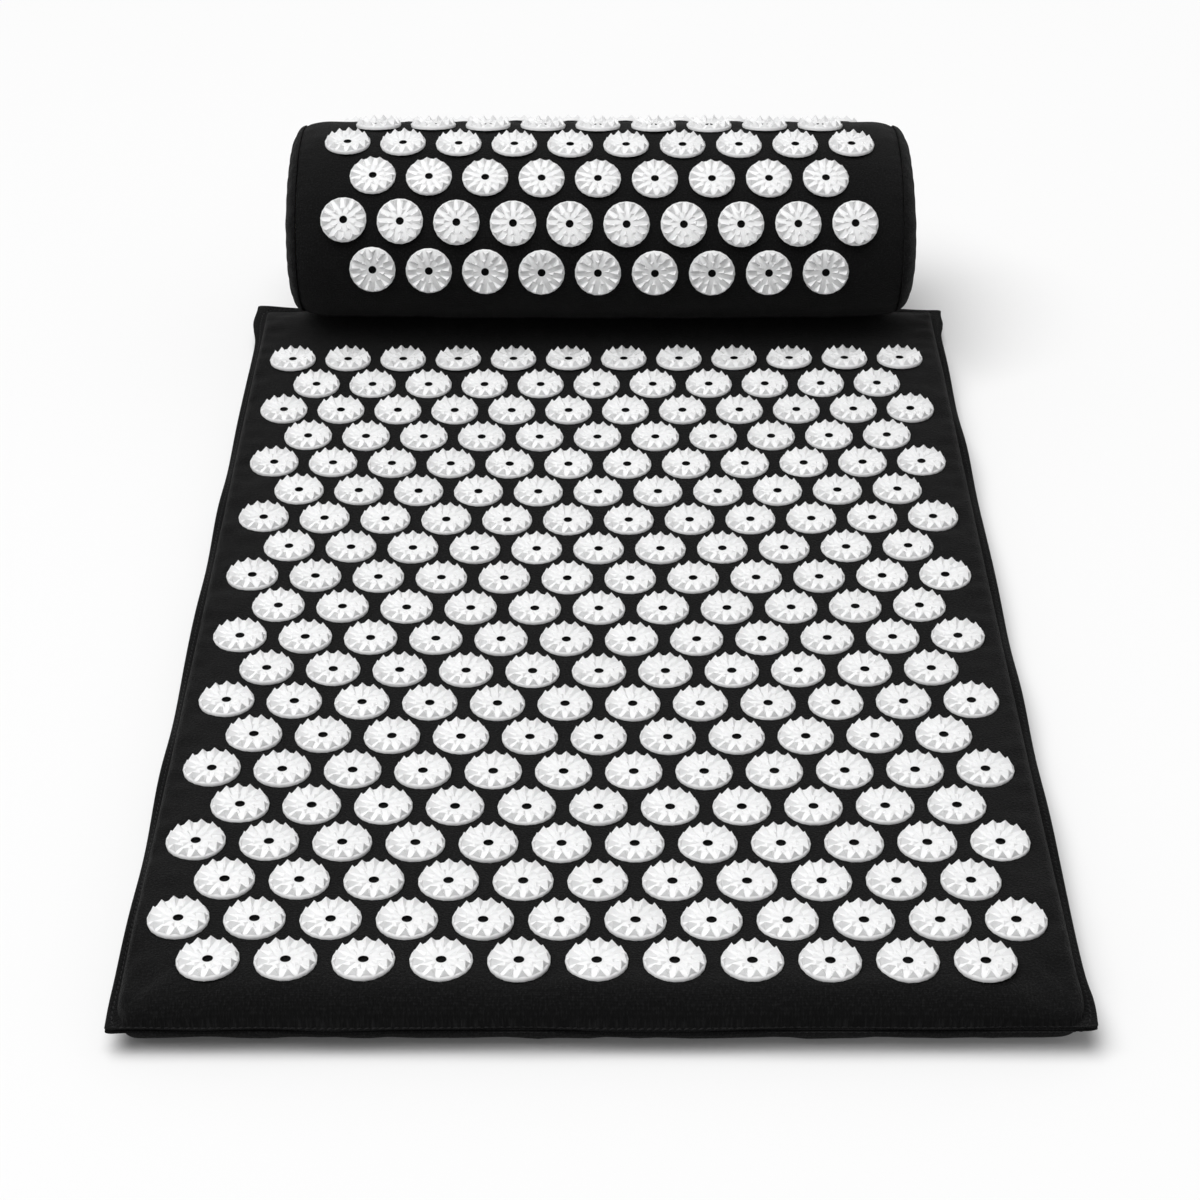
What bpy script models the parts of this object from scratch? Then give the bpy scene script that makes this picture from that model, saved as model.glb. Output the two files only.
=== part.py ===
"""Acupressure mat with its bolster pillow.

A foam pad in a two-panel canvas cover carries rows of spiked plastic discs. The pillow, a barrel-shaped
foam bolster in a four-panel canvas cover with the same discs, rests on the mat's far margin. Each cover
closes with a coil zip, whose slider runs along the chain and whose pull tab swings on the slider's bridge.

Metres, +Z up, X across the mat, +Y from its near edge towards the pillow. The origin is under the middle
of the whole object's box, on the floor.
"""
import math

import bmesh
import bpy
import numpy as np
from mathutils import Matrix, Vector

# Cloth, fits and cuts
CLOTH = 0.0009
GAP = 0.0003
FOAM_GAP = 0.0006
OVERRUN = 0.004
WELD = 0.000001

# Spiked discs
COLUMN_PITCH = 0.0327
ROW_PITCH = COLUMN_PITCH * math.sin(math.radians(60))
DISC_RADIUS = 0.01325
DISC_RIM = 0.0020
DISC_DIP = 0.0013
DISC_HEIGHT = 0.0050
DISC_TIP_INSET = 0.0006
DISC_SUNK = 0.00045
SPIKES = 6
TURN = math.radians(137.5)

# Mat: the origin of these sizes is the middle of its disc field
MAT_ROWS = 20
MAT_LONG_ROW = 12
SIDE_MARGIN = 0.02815
NEAR_MARGIN = 0.0252
FAR_MARGIN = 0.0922
MAT_THICKNESS = 0.019
DISH_RISE = 0.006
DISH_SIDE_RISE = 0.0015
LEAN_SHARE = 0.006
LEVEL_MARGIN = 0.051
FLANGE = 0.0055
NEAR_SEAM_HEIGHT = 0.0135
FAR_SEAM_HEIGHT = 0.012
TOP_ROLL = 0.009
BOTTOM_ROLL = 0.008
CORNER_RADIUS = 0.016
NEAR_LIFT = 0.004
LIFT_RUN = 0.125
NEAR_FLARE = 0.001
FAR_FLARE = 0.004
FLARE_RUN = 0.050

# Pillow
PILLOW_ROWS = 7
PILLOW_LONG_ROW = 10
PILLOW_DEPTH = 0.1444
PILLOW_HEIGHT = 0.1074
PILLOW_FLAT = 0.0015
END_MARGIN = 0.02815
PILLOW_CROWN = 0.002
END_ROLL = 0.0025
END_PUFF = 0.006
PUFF_POWER = 8
PILLOW_OVERHANG = 0.0598
FRONT_SEAM_DROP = math.radians(51)
BACK_SEAM_DROP = math.radians(25)
CROWN_TURN = math.radians(-20)
TURN_SAMPLES = 721

# Zips
ZIP_SLOT = 0.0116
MAT_ZIP_MARGIN = 0.068
PILLOW_ZIP_MARGIN = 0.0653
TAPE_TAIL = 0.024
TAPE_LAP = 0.002
TAPE_THICKNESS = 0.0006
TAPE_WIDTH = 0.0070
CHAIN_SLIT = 0.0014
COIL_WIDTH = 0.0024
COIL_THICKNESS = 0.0018
STOP_LENGTH = 0.0025
SLIDER_LENGTH = 0.011
SLIDER_REAR_WIDTH = 0.0086
SLIDER_FRONT_WIDTH = 0.0100
PLATE_THICKNESS = 0.0012
LIP_THICKNESS = 0.0008
WEDGE_LENGTH = 0.004
BRIDGE_SPAN = 0.0062
BRIDGE_HEIGHT = 0.0030
BRIDGE_WIDTH = 0.0020
BRIDGE_THICKNESS = 0.0009
PULL_LENGTH = 0.021
PULL_WIDTH = 0.0062
PULL_THICKNESS = 0.0012
PULL_BAR = 0.0014
PULL_SLOT_LENGTH = 0.0038
PULL_SLOT_WIDTH = 0.0032
PULL_CORNER = 0.0006
PULL_AXIS_HEIGHT = 0.0011
ZIP_EDGE_ROUND = 0.0004
MAT_ZIP_DEPTH = 0.0034
PILLOW_ZIP_DEPTH = 0.0022

# Worked out from the sizes above
HALF_FIELD = (MAT_ROWS - 1) / 2 * ROW_PITCH
HALF_FIELD_WIDTH = (MAT_LONG_ROW - 1) / 2 * COLUMN_PITCH
NEAR_EDGE = -HALF_FIELD - NEAR_MARGIN
FAR_EDGE = HALF_FIELD + FAR_MARGIN
MAT_HALF_WIDTH = HALF_FIELD_WIDTH + SIDE_MARGIN
PAD_HALF_WIDTH = MAT_HALF_WIDTH - FLANGE
PAD_NEAR = NEAR_EDGE + FLANGE
PAD_FAR = FAR_EDGE - FLANGE
HALF_DEPTH = PILLOW_DEPTH / 2
HALF_HEIGHT = PILLOW_HEIGHT / 2
HALF_LENGTH = (PILLOW_LONG_ROW - 1) / 2 * COLUMN_PITCH + END_MARGIN
PILLOW_Y = FAR_EDGE + PILLOW_OVERHANG - HALF_DEPTH
MIDDLE_Y = (NEAR_EDGE + PILLOW_Y + HALF_DEPTH) / 2
LEVEL_START = FAR_EDGE - LEVEL_MARGIN
LINING = CLOTH + FOAM_GAP
ZIP_RELIEF = TAPE_THICKNESS + PLATE_THICKNESS + 3 * GAP
SEAM_TURN = GAP / HALF_HEIGHT
MAT_CHAIN = 2 * (MAT_HALF_WIDTH - MAT_ZIP_MARGIN)
PILLOW_CHAIN = 2 * (HALF_LENGTH - PILLOW_ZIP_MARGIN)

# Where the sheets' lines lie: across a rolled edge from seam to flat, over the mat, and over the pillow
ROLL_STEPS = 3
ROLL_SHARES = [1.0 - math.cos(math.radians(90) * k / ROLL_STEPS) for k in range(ROLL_STEPS + 1)]
FIELD_COLUMN_SHARES = (0.25, 0.75)
LIFT_ROW_SHARES = (0.10, 0.19)
FIELD_ROW_SHARES = (0.36, 0.53, 0.70, 0.86)
END_ROLL_SHARE = 0.92
BARREL_SHARES = (-1.0, -END_ROLL_SHARE, -0.5, 0.0, 0.5, END_ROLL_SHARE, 1.0)
DOME_SHARES = (1.0, 0.94, 0.82, 0.0)


def clear_scene():
    """Removes every object, so that the script can be run again."""
    for old in list(bpy.data.objects):
        bpy.data.objects.remove(old, do_unlink=True)


def make_collection(name, hidden=False):
    group = bpy.data.collections.new(name)
    bpy.context.scene.collection.children.link(group)
    group.hide_render = hidden
    return group


def make_material(name, color, roughness, metallic=0.0):
    """A Principled BSDF finish."""
    finish = bpy.data.materials.new(name)
    finish.use_nodes = True
    shader = finish.node_tree.nodes["Principled BSDF"]
    shader.inputs["Base Color"].default_value = (*color, 1.0)
    shader.inputs["Roughness"].default_value = roughness
    shader.inputs["Metallic"].default_value = metallic
    finish.diffuse_color = (*color, 1.0)
    return finish


clear_scene()
PARTS = make_collection("acupressure_mat")
CUTTERS = make_collection("cutters", hidden=True)
CANVAS = make_material("black_canvas", (0.013, 0.013, 0.014), 0.9)
FOAM = make_material("pale_foam", (0.70, 0.66, 0.52), 0.95)
WHITE_PLASTIC = make_material("white_plastic", (0.86, 0.86, 0.86), 0.4)
TAPE = make_material("black_tape", (0.010, 0.010, 0.011), 0.8)
COIL = make_material("black_nylon", (0.014, 0.014, 0.015), 0.4)
ZIP_METAL = make_material("black_zip_metal", (0.03, 0.03, 0.032), 0.35, 1.0)


def add_object(name, mesh, finish, parent=None, location=(0.0, 0.0, 0.0), cutter=False):
    """Puts a mesh or curve in the scene as a named part, or as a wire cutter that isn't part of the model."""
    item = bpy.data.objects.new(name, mesh)
    mesh.materials.append(finish)
    item.location = location
    item.parent = parent
    (CUTTERS if cutter else PARTS).objects.link(item)
    if cutter:
        item.hide_render = True
        item.display_type = "WIRE"
    return item


def add_empty(name, location, rotation=(0.0, 0.0, 0.0), parent=None):
    frame = bpy.data.objects.new(name, None)
    frame.location = location
    frame.rotation_euler = rotation
    frame.parent = parent
    PARTS.objects.link(frame)
    return frame


def mesh_from(bm, name):
    mesh = bpy.data.meshes.new(name)
    bm.to_mesh(mesh)
    bm.free()
    return mesh


def lay_grid(bm, columns, rows, place):
    """Adds a grid whose corner (i, j) is moved to place(columns[i], rows[j])."""
    made = bmesh.ops.create_grid(bm, x_segments=len(columns) - 1, y_segments=len(rows) - 1, size=1.0)
    for corner in made["verts"]:
        i = round((corner.co.x + 1.0) / 2.0 * (len(columns) - 1))
        j = round((corner.co.y + 1.0) / 2.0 * (len(rows) - 1))
        corner.co = place(columns[i], rows[j])


def close_and_face_out(bm):
    """Welds the lines where sheets meet and turns every face outwards."""
    bmesh.ops.remove_doubles(bm, verts=bm.verts, dist=WELD)
    bmesh.ops.dissolve_degenerate(bm, dist=WELD, edges=bm.edges)
    bmesh.ops.recalc_face_normals(bm, faces=bm.faces)


def cloth_sheet(name, columns, rows, place, outwards):
    """A cloth panel: a grid on its outer face, thickened inwards or, where outwards is 1, outwards."""
    bm = bmesh.new()
    lay_grid(bm, columns, rows, place)
    bmesh.ops.remove_doubles(bm, verts=bm.verts, dist=WELD)
    bmesh.ops.dissolve_degenerate(bm, dist=WELD, edges=bm.edges)
    bmesh.ops.triangulate(bm, faces=bm.faces)
    panel = add_object(name, mesh_from(bm, name), CANVAS)
    wall = panel.modifiers.new("cloth", "SOLIDIFY")
    wall.thickness = CLOTH
    wall.offset = outwards
    return panel


def join_bodies(target, other, operation="UNION"):
    """Joins or cuts with a Boolean that keeps each body's own finish."""
    step = target.modifiers.new(other.name, "BOOLEAN")
    step.operation = operation
    step.object = other
    step.solver = "EXACT"
    step.material_mode = "TRANSFER"


def cutter_box(name, low, high, finish, parent=None):
    """A box cutter between two corners."""
    bm = bmesh.new()
    size = Vector(high) - Vector(low)
    middle = (Vector(high) + Vector(low)) / 2
    bmesh.ops.create_cube(bm, size=1.0, matrix=Matrix.Translation(middle) @ Matrix.Diagonal((*size, 1.0)))
    return add_object(name, mesh_from(bm, name), finish, parent, cutter=True)


def seat_frame(place, u, v, step):
    """The frame of a piece seated on a surface at (u, v): Z is the surface's normal, X runs along u."""
    here = Vector(place(u, v))
    along = (Vector(place(u + step[0], v)) - here).normalized()
    across = Vector(place(u, v + step[1])) - here
    normal = along.cross(across).normalized()
    side = normal.cross(along)
    turn = Matrix((along, side, normal)).transposed().to_4x4()
    return Matrix.Translation(here) @ turn


# Spiked discs

def disc_shape():
    """One disc: flat sides on a polygon of the round disc's area, with a tip at each corner.

    Each side's top edge dips to a notch at its middle, which lies in the side's plane, and the top falls
    from tips and notches to the dipped middle.
    """
    corner = DISC_RADIUS * math.sqrt(math.tau / (SPIKES * math.sin(math.tau / SPIKES)))
    turns = [k / SPIKES * math.tau for k in range(SPIKES)]
    foot = [Vector((corner * math.cos(a), corner * math.sin(a), -DISC_SUNK)) for a in turns]
    tip_radius = corner - DISC_TIP_INSET
    tips = [Vector((tip_radius * math.cos(a), tip_radius * math.sin(a), DISC_HEIGHT)) for a in turns]
    rise = (DISC_RIM + DISC_SUNK) / (DISC_HEIGHT + DISC_SUNK)
    notches = []
    for k in range(SPIKES):
        below = (foot[k] + foot[(k + 1) % SPIKES]) / 2
        above = (tips[k] + tips[(k + 1) % SPIKES]) / 2
        notches.append(below.lerp(above, rise))
    points = foot + tips + notches + [Vector((0.0, 0.0, DISC_DIP))]
    middle = len(points) - 1
    faces = [tuple(reversed(range(SPIKES)))]
    for k in range(SPIKES):
        following = (k + 1) % SPIKES
        tip = SPIKES + k
        next_tip = SPIKES + following
        notch = 2 * SPIKES + k
        faces.append((k, following, next_tip, notch, tip))
        faces.append((tip, notch, middle))
        faces.append((notch, next_tip, middle))
    return points, faces


def disc_group(name, frames):
    """All the discs of one panel in one cutter object, to be joined to the panel that carries them."""
    points, faces = disc_shape()
    bm = bmesh.new()
    for count, frame in enumerate(frames):
        seat = frame @ Matrix.Rotation(TURN * count, 4, "Z")
        corners = [bm.verts.new(seat @ point) for point in points]
        for face in faces:
            bm.faces.new([corners[k] for k in face])
    return add_object(name, mesh_from(bm, name), WHITE_PLASTIC, cutter=True)


def staggered_rows(rows, long_row):
    """Row numbers and offsets across for rows of, in turn, one fewer than long_row discs and long_row."""
    for row in range(rows):
        count = long_row - 1 + row % 2
        for column in range(count):
            yield row, (column - (count - 1) / 2) * COLUMN_PITCH


# Mat

def seam_height(y):
    """Height of the seam round the pad, which falls evenly from the near edge to the far one."""
    share = (y - NEAR_EDGE) / (FAR_EDGE - NEAR_EDGE)
    return NEAR_SEAM_HEIGHT + (FAR_SEAM_HEIGHT - NEAR_SEAM_HEIGHT) * share


def mat_top_height(x, y):
    """The slightly dished top: it rises to both ends and sides, and lies level under the pillow."""
    level = min(y, LEVEL_START)
    ends = DISH_RISE * (level / HALF_FIELD) ** 2 - LEAN_SHARE * level
    fade = min(1.0, (LEVEL_START - level) / (LEVEL_START - HALF_FIELD))
    return MAT_THICKNESS + ends + fade * DISH_SIDE_RISE * (x / HALF_FIELD_WIDTH) ** 2


def mat_bottom_height(y):
    """The underside: flat on the floor, and curled up a little at the near end."""
    run = max(0.0, (PAD_NEAR + LIFT_RUN - y) / LIFT_RUN)
    return NEAR_LIFT * run ** 2


def round_the_corner(x, y, half_width, near, far, corner):
    """Bends square lines into arcs at a rectangle's corners; also gives the distance inside it.

    Lines outside the rectangle, those of the flange, stay square, so the cover's corners stand off as ears.
    """
    side = half_width - abs(x)
    end = min(y - near, far - y)
    depth = min(side, end)
    u = corner - side
    v = corner - end
    if depth > -WELD and u > 0.0 and v > 0.0:
        pull = max(u, v) / math.hypot(u, v)
        x = math.copysign(half_width - corner + u * pull, x)
        y = near + corner - v * pull if y - near < far - y else far - corner + v * pull
    return x, y, max(0.0, depth)


def roll_share(depth, roll):
    """Quarter ellipse: 0 at the seam, 1 once the roll is over."""
    rest = max(0.0, 1.0 - depth / roll)
    return math.sqrt(1.0 - rest ** 2)


def flared(x, y):
    """Moves the cover's outermost side lines out towards its corners."""
    if abs(x) < MAT_HALF_WIDTH - WELD:
        return x
    far_run = max(0.0, (y - (FAR_EDGE - FLARE_RUN)) / FLARE_RUN)
    near_run = max(0.0, (NEAR_EDGE + FLARE_RUN - y) / FLARE_RUN)
    return math.copysign(abs(x) + FAR_FLARE * far_run ** 2 + NEAR_FLARE * near_run ** 2, x)


def top_panel_point(x, y):
    x, y, depth = round_the_corner(x, y, PAD_HALF_WIDTH, PAD_NEAR, PAD_FAR, CORNER_RADIUS)
    seam = seam_height(y) + GAP / 2 + CLOTH
    z = seam + (mat_top_height(x, y) - seam) * roll_share(depth, TOP_ROLL)
    return flared(x, y), y - MIDDLE_Y, z


def bottom_panel_point(x, y):
    x, y, depth = round_the_corner(x, y, PAD_HALF_WIDTH, PAD_NEAR, PAD_FAR, CORNER_RADIUS)
    seam = seam_height(y) - GAP / 2 - CLOTH
    z = seam - (seam - mat_bottom_height(y)) * roll_share(depth, BOTTOM_ROLL)
    return flared(x, y), y - MIDDLE_Y, z


def lines_between(low, high, roll, inner, flange):
    """Grid lines of a rolled sheet: flange, roll, the given inner lines, roll, flange."""
    rising = [low + roll * share for share in ROLL_SHARES]
    falling = [high - roll * share for share in reversed(ROLL_SHARES)]
    edges = [low - flange] if flange else []
    ends = [high + flange] if flange else []
    return edges + rising + list(inner) + falling + ends


def shares_between(low, high, shares):
    return [low + (high - low) * share for share in shares]


def mat_lines(roll, inset, cut_back, flange, column_shares, row_shares):
    """The mat's lines: the corners' arcs start on lines of their own, and so does the level far margin."""
    half = PAD_HALF_WIDTH - inset
    arc = PAD_HALF_WIDTH - CORNER_RADIUS
    near_arc = PAD_NEAR + CORNER_RADIUS
    far_arc = PAD_FAR - cut_back - CORNER_RADIUS + inset
    columns = [-arc] + shares_between(-arc, arc, column_shares) + [arc]
    rows = [near_arc] + shares_between(near_arc, LEVEL_START, row_shares) + [LEVEL_START, far_arc]
    near = PAD_NEAR + inset
    far = PAD_FAR - cut_back
    return lines_between(-half, half, roll, columns, flange), lines_between(near, far, roll, rows, flange)


def open_mat_panel(panel):
    """Opens the far side of a mat panel for the zip, and takes its flange off there."""
    half = MAT_CHAIN / 2 + TAPE_TAIL - TAPE_LAP
    seam = seam_height(PAD_FAR)
    low = (-half, PAD_FAR - TOP_ROLL / 2 - MIDDLE_Y, seam - ZIP_SLOT / 2)
    high = (half, FAR_EDGE + OVERRUN - MIDDLE_Y, seam + ZIP_SLOT / 2)
    join_bodies(panel, cutter_box(panel.name + "_slot", low, high, CANVAS), "DIFFERENCE")


def make_mat_cover():
    all_rows = LIFT_ROW_SHARES + FIELD_ROW_SHARES
    columns, rows = mat_lines(TOP_ROLL, 0.0, 0.0, FLANGE, FIELD_COLUMN_SHARES, all_rows)
    top = cloth_sheet("mat_top_panel", columns, rows, top_panel_point, -1.0)
    step = (DISC_RADIUS, DISC_RADIUS)
    frames = []
    for row, x in staggered_rows(MAT_ROWS, MAT_LONG_ROW):
        frames.append(seat_frame(top_panel_point, x, row * ROW_PITCH - HALF_FIELD, step))
    join_bodies(top, disc_group("mat_discs", frames))
    open_mat_panel(top)
    columns, rows = mat_lines(BOTTOM_ROLL, 0.0, 0.0, FLANGE, (), LIFT_ROW_SHARES)
    bottom = cloth_sheet("mat_bottom_panel", columns, rows[::-1], bottom_panel_point, -1.0)
    open_mat_panel(bottom)


def make_mat_foam():
    """The pad: two dished sheets that meet at the seam, cut back at the far end to leave the zip room."""
    cut_back = MAT_ZIP_DEPTH + ZIP_RELIEF
    bounds = (PAD_HALF_WIDTH - LINING, PAD_NEAR + LINING, PAD_FAR - cut_back, CORNER_RADIUS - LINING)

    def foam_top(x, y):
        x, y, depth = round_the_corner(x, y, *bounds)
        seam = seam_height(y)
        return x, y - MIDDLE_Y, seam + (mat_top_height(x, y) - LINING - seam) * roll_share(depth, TOP_ROLL)

    def foam_bottom(x, y):
        x, y, depth = round_the_corner(x, y, *bounds)
        seam = seam_height(y)
        return x, y - MIDDLE_Y, seam - (seam - mat_bottom_height(y) - LINING) * roll_share(depth, TOP_ROLL)

    all_rows = LIFT_ROW_SHARES + FIELD_ROW_SHARES
    columns, rows = mat_lines(TOP_ROLL, LINING, cut_back, 0.0, FIELD_COLUMN_SHARES, all_rows)
    bm = bmesh.new()
    lay_grid(bm, columns, rows, foam_top)
    lay_grid(bm, columns, rows, foam_bottom)
    close_and_face_out(bm)
    add_object("mat_foam_pad", mesh_from(bm, "mat_foam_pad"), FOAM)


# Pillow

def barrel_point(turn, x, inset=0.0):
    """A point of the pillow's cover: an ellipse, a little smaller towards the ends and flat below.

    turn is 0 at the front, a quarter turn at the top and half a turn at the back.
    """
    weight = (1.0 + math.cos(turn - CROWN_TURN)) / 2.0
    roll = max(0.0, abs(x) / HALF_LENGTH - END_ROLL_SHARE) / (1.0 - END_ROLL_SHARE)
    crown = PILLOW_CROWN * weight * (x / HALF_LENGTH) ** 2 + END_ROLL * roll ** 2
    y = -(HALF_DEPTH - inset - crown) * math.cos(turn)
    z = (HALF_HEIGHT - inset - crown) * math.sin(turn)
    floor = -(HALF_HEIGHT - PILLOW_FLAT) + inset
    return x, y, max(z, floor)


def pillow_middle():
    """The middle of the pillow's section: its flat rests a gap above the mat's level far margin."""
    seat = mat_top_height(0.0, PAD_FAR)
    return Vector((0.0, PILLOW_Y - MIDDLE_Y, seat + GAP + HALF_HEIGHT - PILLOW_FLAT))


def placed_barrel(x, turn, inset=0.0):
    return pillow_middle() + Vector(barrel_point(turn, x, inset))


def even_turns(start, end, count):
    return [start + (end - start) * k / count for k in range(count + 1)]


def wrap_turns():
    """Lines round the disc panel, from the front seam over the top to the zip."""
    front = even_turns(-FRONT_SEAM_DROP, 0.0, 4)
    over = even_turns(0.0, math.pi, 16)
    back = even_turns(math.pi, math.pi + BACK_SEAM_DROP - SEAM_TURN, 2)
    return front + over[1:] + back[1:]


def base_turns():
    """Lines round the base panel, from the zip under the pillow to the front seam."""
    low = -(HALF_HEIGHT - PILLOW_FLAT) / HALF_HEIGHT
    flat_front = math.asin(low)
    flat_back = math.pi - flat_front
    start = math.pi + BACK_SEAM_DROP + SEAM_TURN
    end = math.tau - FRONT_SEAM_DROP - 2 * SEAM_TURN
    rising = even_turns(start, flat_back, 4)
    under = even_turns(flat_back, math.tau + flat_front, 2)
    falling = even_turns(math.tau + flat_front, end, 2)
    return rising + under[1:] + falling[1:]


def barrel_lines():
    return [HALF_LENGTH * share for share in BARREL_SHARES]


def row_turns():
    """Turn of each disc row: rows lie a row pitch apart round the section, the first at the front."""
    fine = np.linspace(0.0, math.pi, TURN_SAMPLES)
    points = np.array([barrel_point(turn, 0.0) for turn in fine])
    steps = np.linalg.norm(np.diff(points, axis=0), axis=1)
    arc = np.concatenate([[0.0], np.cumsum(steps)])
    return np.interp(np.arange(PILLOW_ROWS) * ROW_PITCH, arc, fine)


def open_pillow_panel(panel, frame):
    """Opens a pillow panel's edge at the back seam for the zip."""
    half = PILLOW_CHAIN / 2 + TAPE_TAIL - TAPE_LAP
    low = (-half, -ZIP_SLOT / 2, GAP)
    high = (half, ZIP_SLOT / 2, PILLOW_ZIP_DEPTH + OVERRUN)
    join_bodies(panel, cutter_box(panel.name + "_slot", low, high, CANVAS, frame), "DIFFERENCE")


def make_pillow_cover(frame):
    lines = barrel_lines()
    panel = cloth_sheet("pillow_disc_panel", lines, wrap_turns(), placed_barrel, -1.0)
    turns = row_turns()
    step = (DISC_RADIUS, DISC_RADIUS / HALF_DEPTH)
    frames = []
    for row, x in staggered_rows(PILLOW_ROWS, PILLOW_LONG_ROW):
        frames.append(seat_frame(placed_barrel, x, turns[row], step))
    join_bodies(panel, disc_group("pillow_discs", frames))
    open_pillow_panel(panel, frame)
    base = cloth_sheet("pillow_base_panel", lines, base_turns(), placed_barrel, -1.0)
    open_pillow_panel(base, frame)


def section_turns():
    """Every line round the section, so that panels, ends and foam have facets that lie parallel."""
    wrap = wrap_turns()
    return wrap + base_turns() + [wrap[0] + math.tau]


def end_point(side, turn, share, inset, start):
    """A point of a puffed end: rings that shrink to the middle and bulge outwards."""
    ring = Vector(barrel_point(turn, HALF_LENGTH, inset))
    out = start + END_PUFF * (1.0 - share ** PUFF_POWER)
    return Vector((side * (HALF_LENGTH + out), ring.y * share, ring.z * share))


def make_pillow_ends():
    turns = section_turns()
    for name, side in (("pillow_left_end", -1.0), ("pillow_right_end", 1.0)):

        def end(share, turn, side=side):
            return pillow_middle() + end_point(side, turn, share, 0.0, GAP)

        order = turns if side < 0.0 else turns[::-1]
        cloth_sheet(name, DOME_SHARES[::-1], order, end, 1.0)


def make_pillow_foam(zip_frame):
    """The bolster core: rings along the barrel with a domed end at each side, relieved behind the zip."""
    turns = section_turns()
    along = [(-1.0, share) for share in reversed(DOME_SHARES)]
    along += [(x / HALF_LENGTH, None) for x in barrel_lines()[1:-1]]
    along += [(1.0, share) for share in DOME_SHARES]

    def core(station, turn):
        side, share = station
        if share is None:
            return placed_barrel(side * HALF_LENGTH, turn, LINING)
        return pillow_middle() + end_point(side, turn, share, LINING, -GAP)

    bm = bmesh.new()
    lay_grid(bm, along, turns, core)
    close_and_face_out(bm)
    foam = add_object("pillow_foam_core", mesh_from(bm, "pillow_foam_core"), FOAM)
    half = PILLOW_CHAIN / 2 + TAPE_TAIL + FOAM_GAP
    across = CHAIN_SLIT / 2 + TAPE_WIDTH + FOAM_GAP
    low = (-half, -across, -ZIP_RELIEF)
    high = (half, across, OVERRUN)
    join_bodies(foam, cutter_box("pillow_zip_relief", low, high, FOAM, zip_frame), "DIFFERENCE")


# Zips, in a frame with X along the chain, Y across it and Z out of the cover, on the tapes' outer face

def rounded_box(name, low, high, finish, parent, location=(0.0, 0.0, 0.0), edge=ZIP_EDGE_ROUND, cutter=False):
    """A box with its edges rounded by one bevel."""
    bm = bmesh.new()
    size = Vector(high) - Vector(low)
    middle = (Vector(high) + Vector(low)) / 2
    bmesh.ops.create_cube(bm, size=1.0, matrix=Matrix.Translation(middle) @ Matrix.Diagonal((*size, 1.0)))
    item = add_object(name, mesh_from(bm, name), finish, parent, location, cutter)
    if edge:
        bevel = item.modifiers.new("edges", "BEVEL")
        bevel.width = edge
        bevel.segments = 1
    return item


def tapered_plate(name, low_z, high_z, parent, location, cutter):
    """A slider plate: wide at the front, where the two sides of the chain come in, narrow at the rear."""
    bm = bmesh.new()
    size = Vector((SLIDER_LENGTH, SLIDER_REAR_WIDTH, high_z - low_z))
    middle = Vector((0.0, 0.0, (low_z + high_z) / 2))
    bmesh.ops.create_cube(bm, size=1.0, matrix=Matrix.Translation(middle) @ Matrix.Diagonal((*size, 1.0)))
    for corner in bm.verts:
        if corner.co.x > 0.0:
            corner.co.y *= SLIDER_FRONT_WIDTH / SLIDER_REAR_WIDTH
    upright = [e for e in bm.edges if abs(e.verts[0].co.z - e.verts[1].co.z) > (high_z - low_z) / 2]
    bmesh.ops.bevel(bm, geom=upright, offset=PLATE_THICKNESS, segments=2, affect="EDGES", profile=0.5)
    return add_object(name, mesh_from(bm, name), ZIP_METAL, parent, location, cutter)


def bridge_arch(name, base, parent, location):
    """The arch over the slider that holds the pull: an outline with an open foot, drawn out sideways."""
    outer = BRIDGE_SPAN / 2
    inner = outer - BRIDGE_THICKNESS
    top = base + BRIDGE_HEIGHT
    under = top - BRIDGE_THICKNESS
    foot = base - PLATE_THICKNESS / 2
    outline = [(-outer, foot), (-inner, foot), (-inner, under), (inner, under), (inner, foot), (outer, foot),
               (outer, under), (inner, top), (-inner, top), (-outer, under)]
    bm = bmesh.new()
    ring = [bm.verts.new((x, -BRIDGE_WIDTH / 2, z)) for x, z in outline]
    face = bm.faces.new(ring)
    drawn = bmesh.ops.extrude_face_region(bm, geom=[face])
    moved = [item for item in drawn["geom"] if isinstance(item, bmesh.types.BMVert)]
    bmesh.ops.translate(bm, verts=moved, vec=(0.0, BRIDGE_WIDTH, 0.0))
    bmesh.ops.recalc_face_normals(bm, faces=bm.faces)
    return add_object(name, mesh_from(bm, name), ZIP_METAL, parent, location, True)


def round_rectangle(low_x, high_x, half_width, radius, steps):
    """Corner points of a rectangle with round corners, anticlockwise."""
    points = []
    corners = ((high_x, half_width, 0.0), (low_x, half_width, 90.0), (low_x, -half_width, 180.0),
               (high_x, -half_width, 270.0))
    for x, y, start in corners:
        cx = x - math.copysign(radius, x - (low_x + high_x) / 2)
        cy = y - math.copysign(radius, y)
        for k in range(steps + 1):
            angle = math.radians(start + 90.0 * k / steps)
            points.append((cx + radius * math.cos(angle), cy + radius * math.sin(angle)))
    return points


def make_pull(name, parent):
    """The pull tab: a flat outline with a slot; the bar at its end turns under the slider's bridge."""
    curve = bpy.data.curves.new(name, "CURVE")
    curve.dimensions = "2D"
    curve.fill_mode = "BOTH"
    curve.extrude = PULL_THICKNESS / 2
    bar = PULL_BAR / 2
    outer = round_rectangle(bar - PULL_LENGTH, bar, PULL_WIDTH / 2, PULL_CORNER, 3)
    slot = round_rectangle(-bar - PULL_SLOT_LENGTH, -bar, PULL_SLOT_WIDTH / 2, PULL_CORNER, 1)
    for loop in (outer, slot):
        line = curve.splines.new("POLY")
        line.points.add(len(loop) - 1)
        for point, (x, y) in zip(line.points, loop):
            point.co = (x, y, 0.0, 1.0)
        line.use_cyclic_u = True
    return add_object(name, curve, ZIP_METAL, parent)


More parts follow.
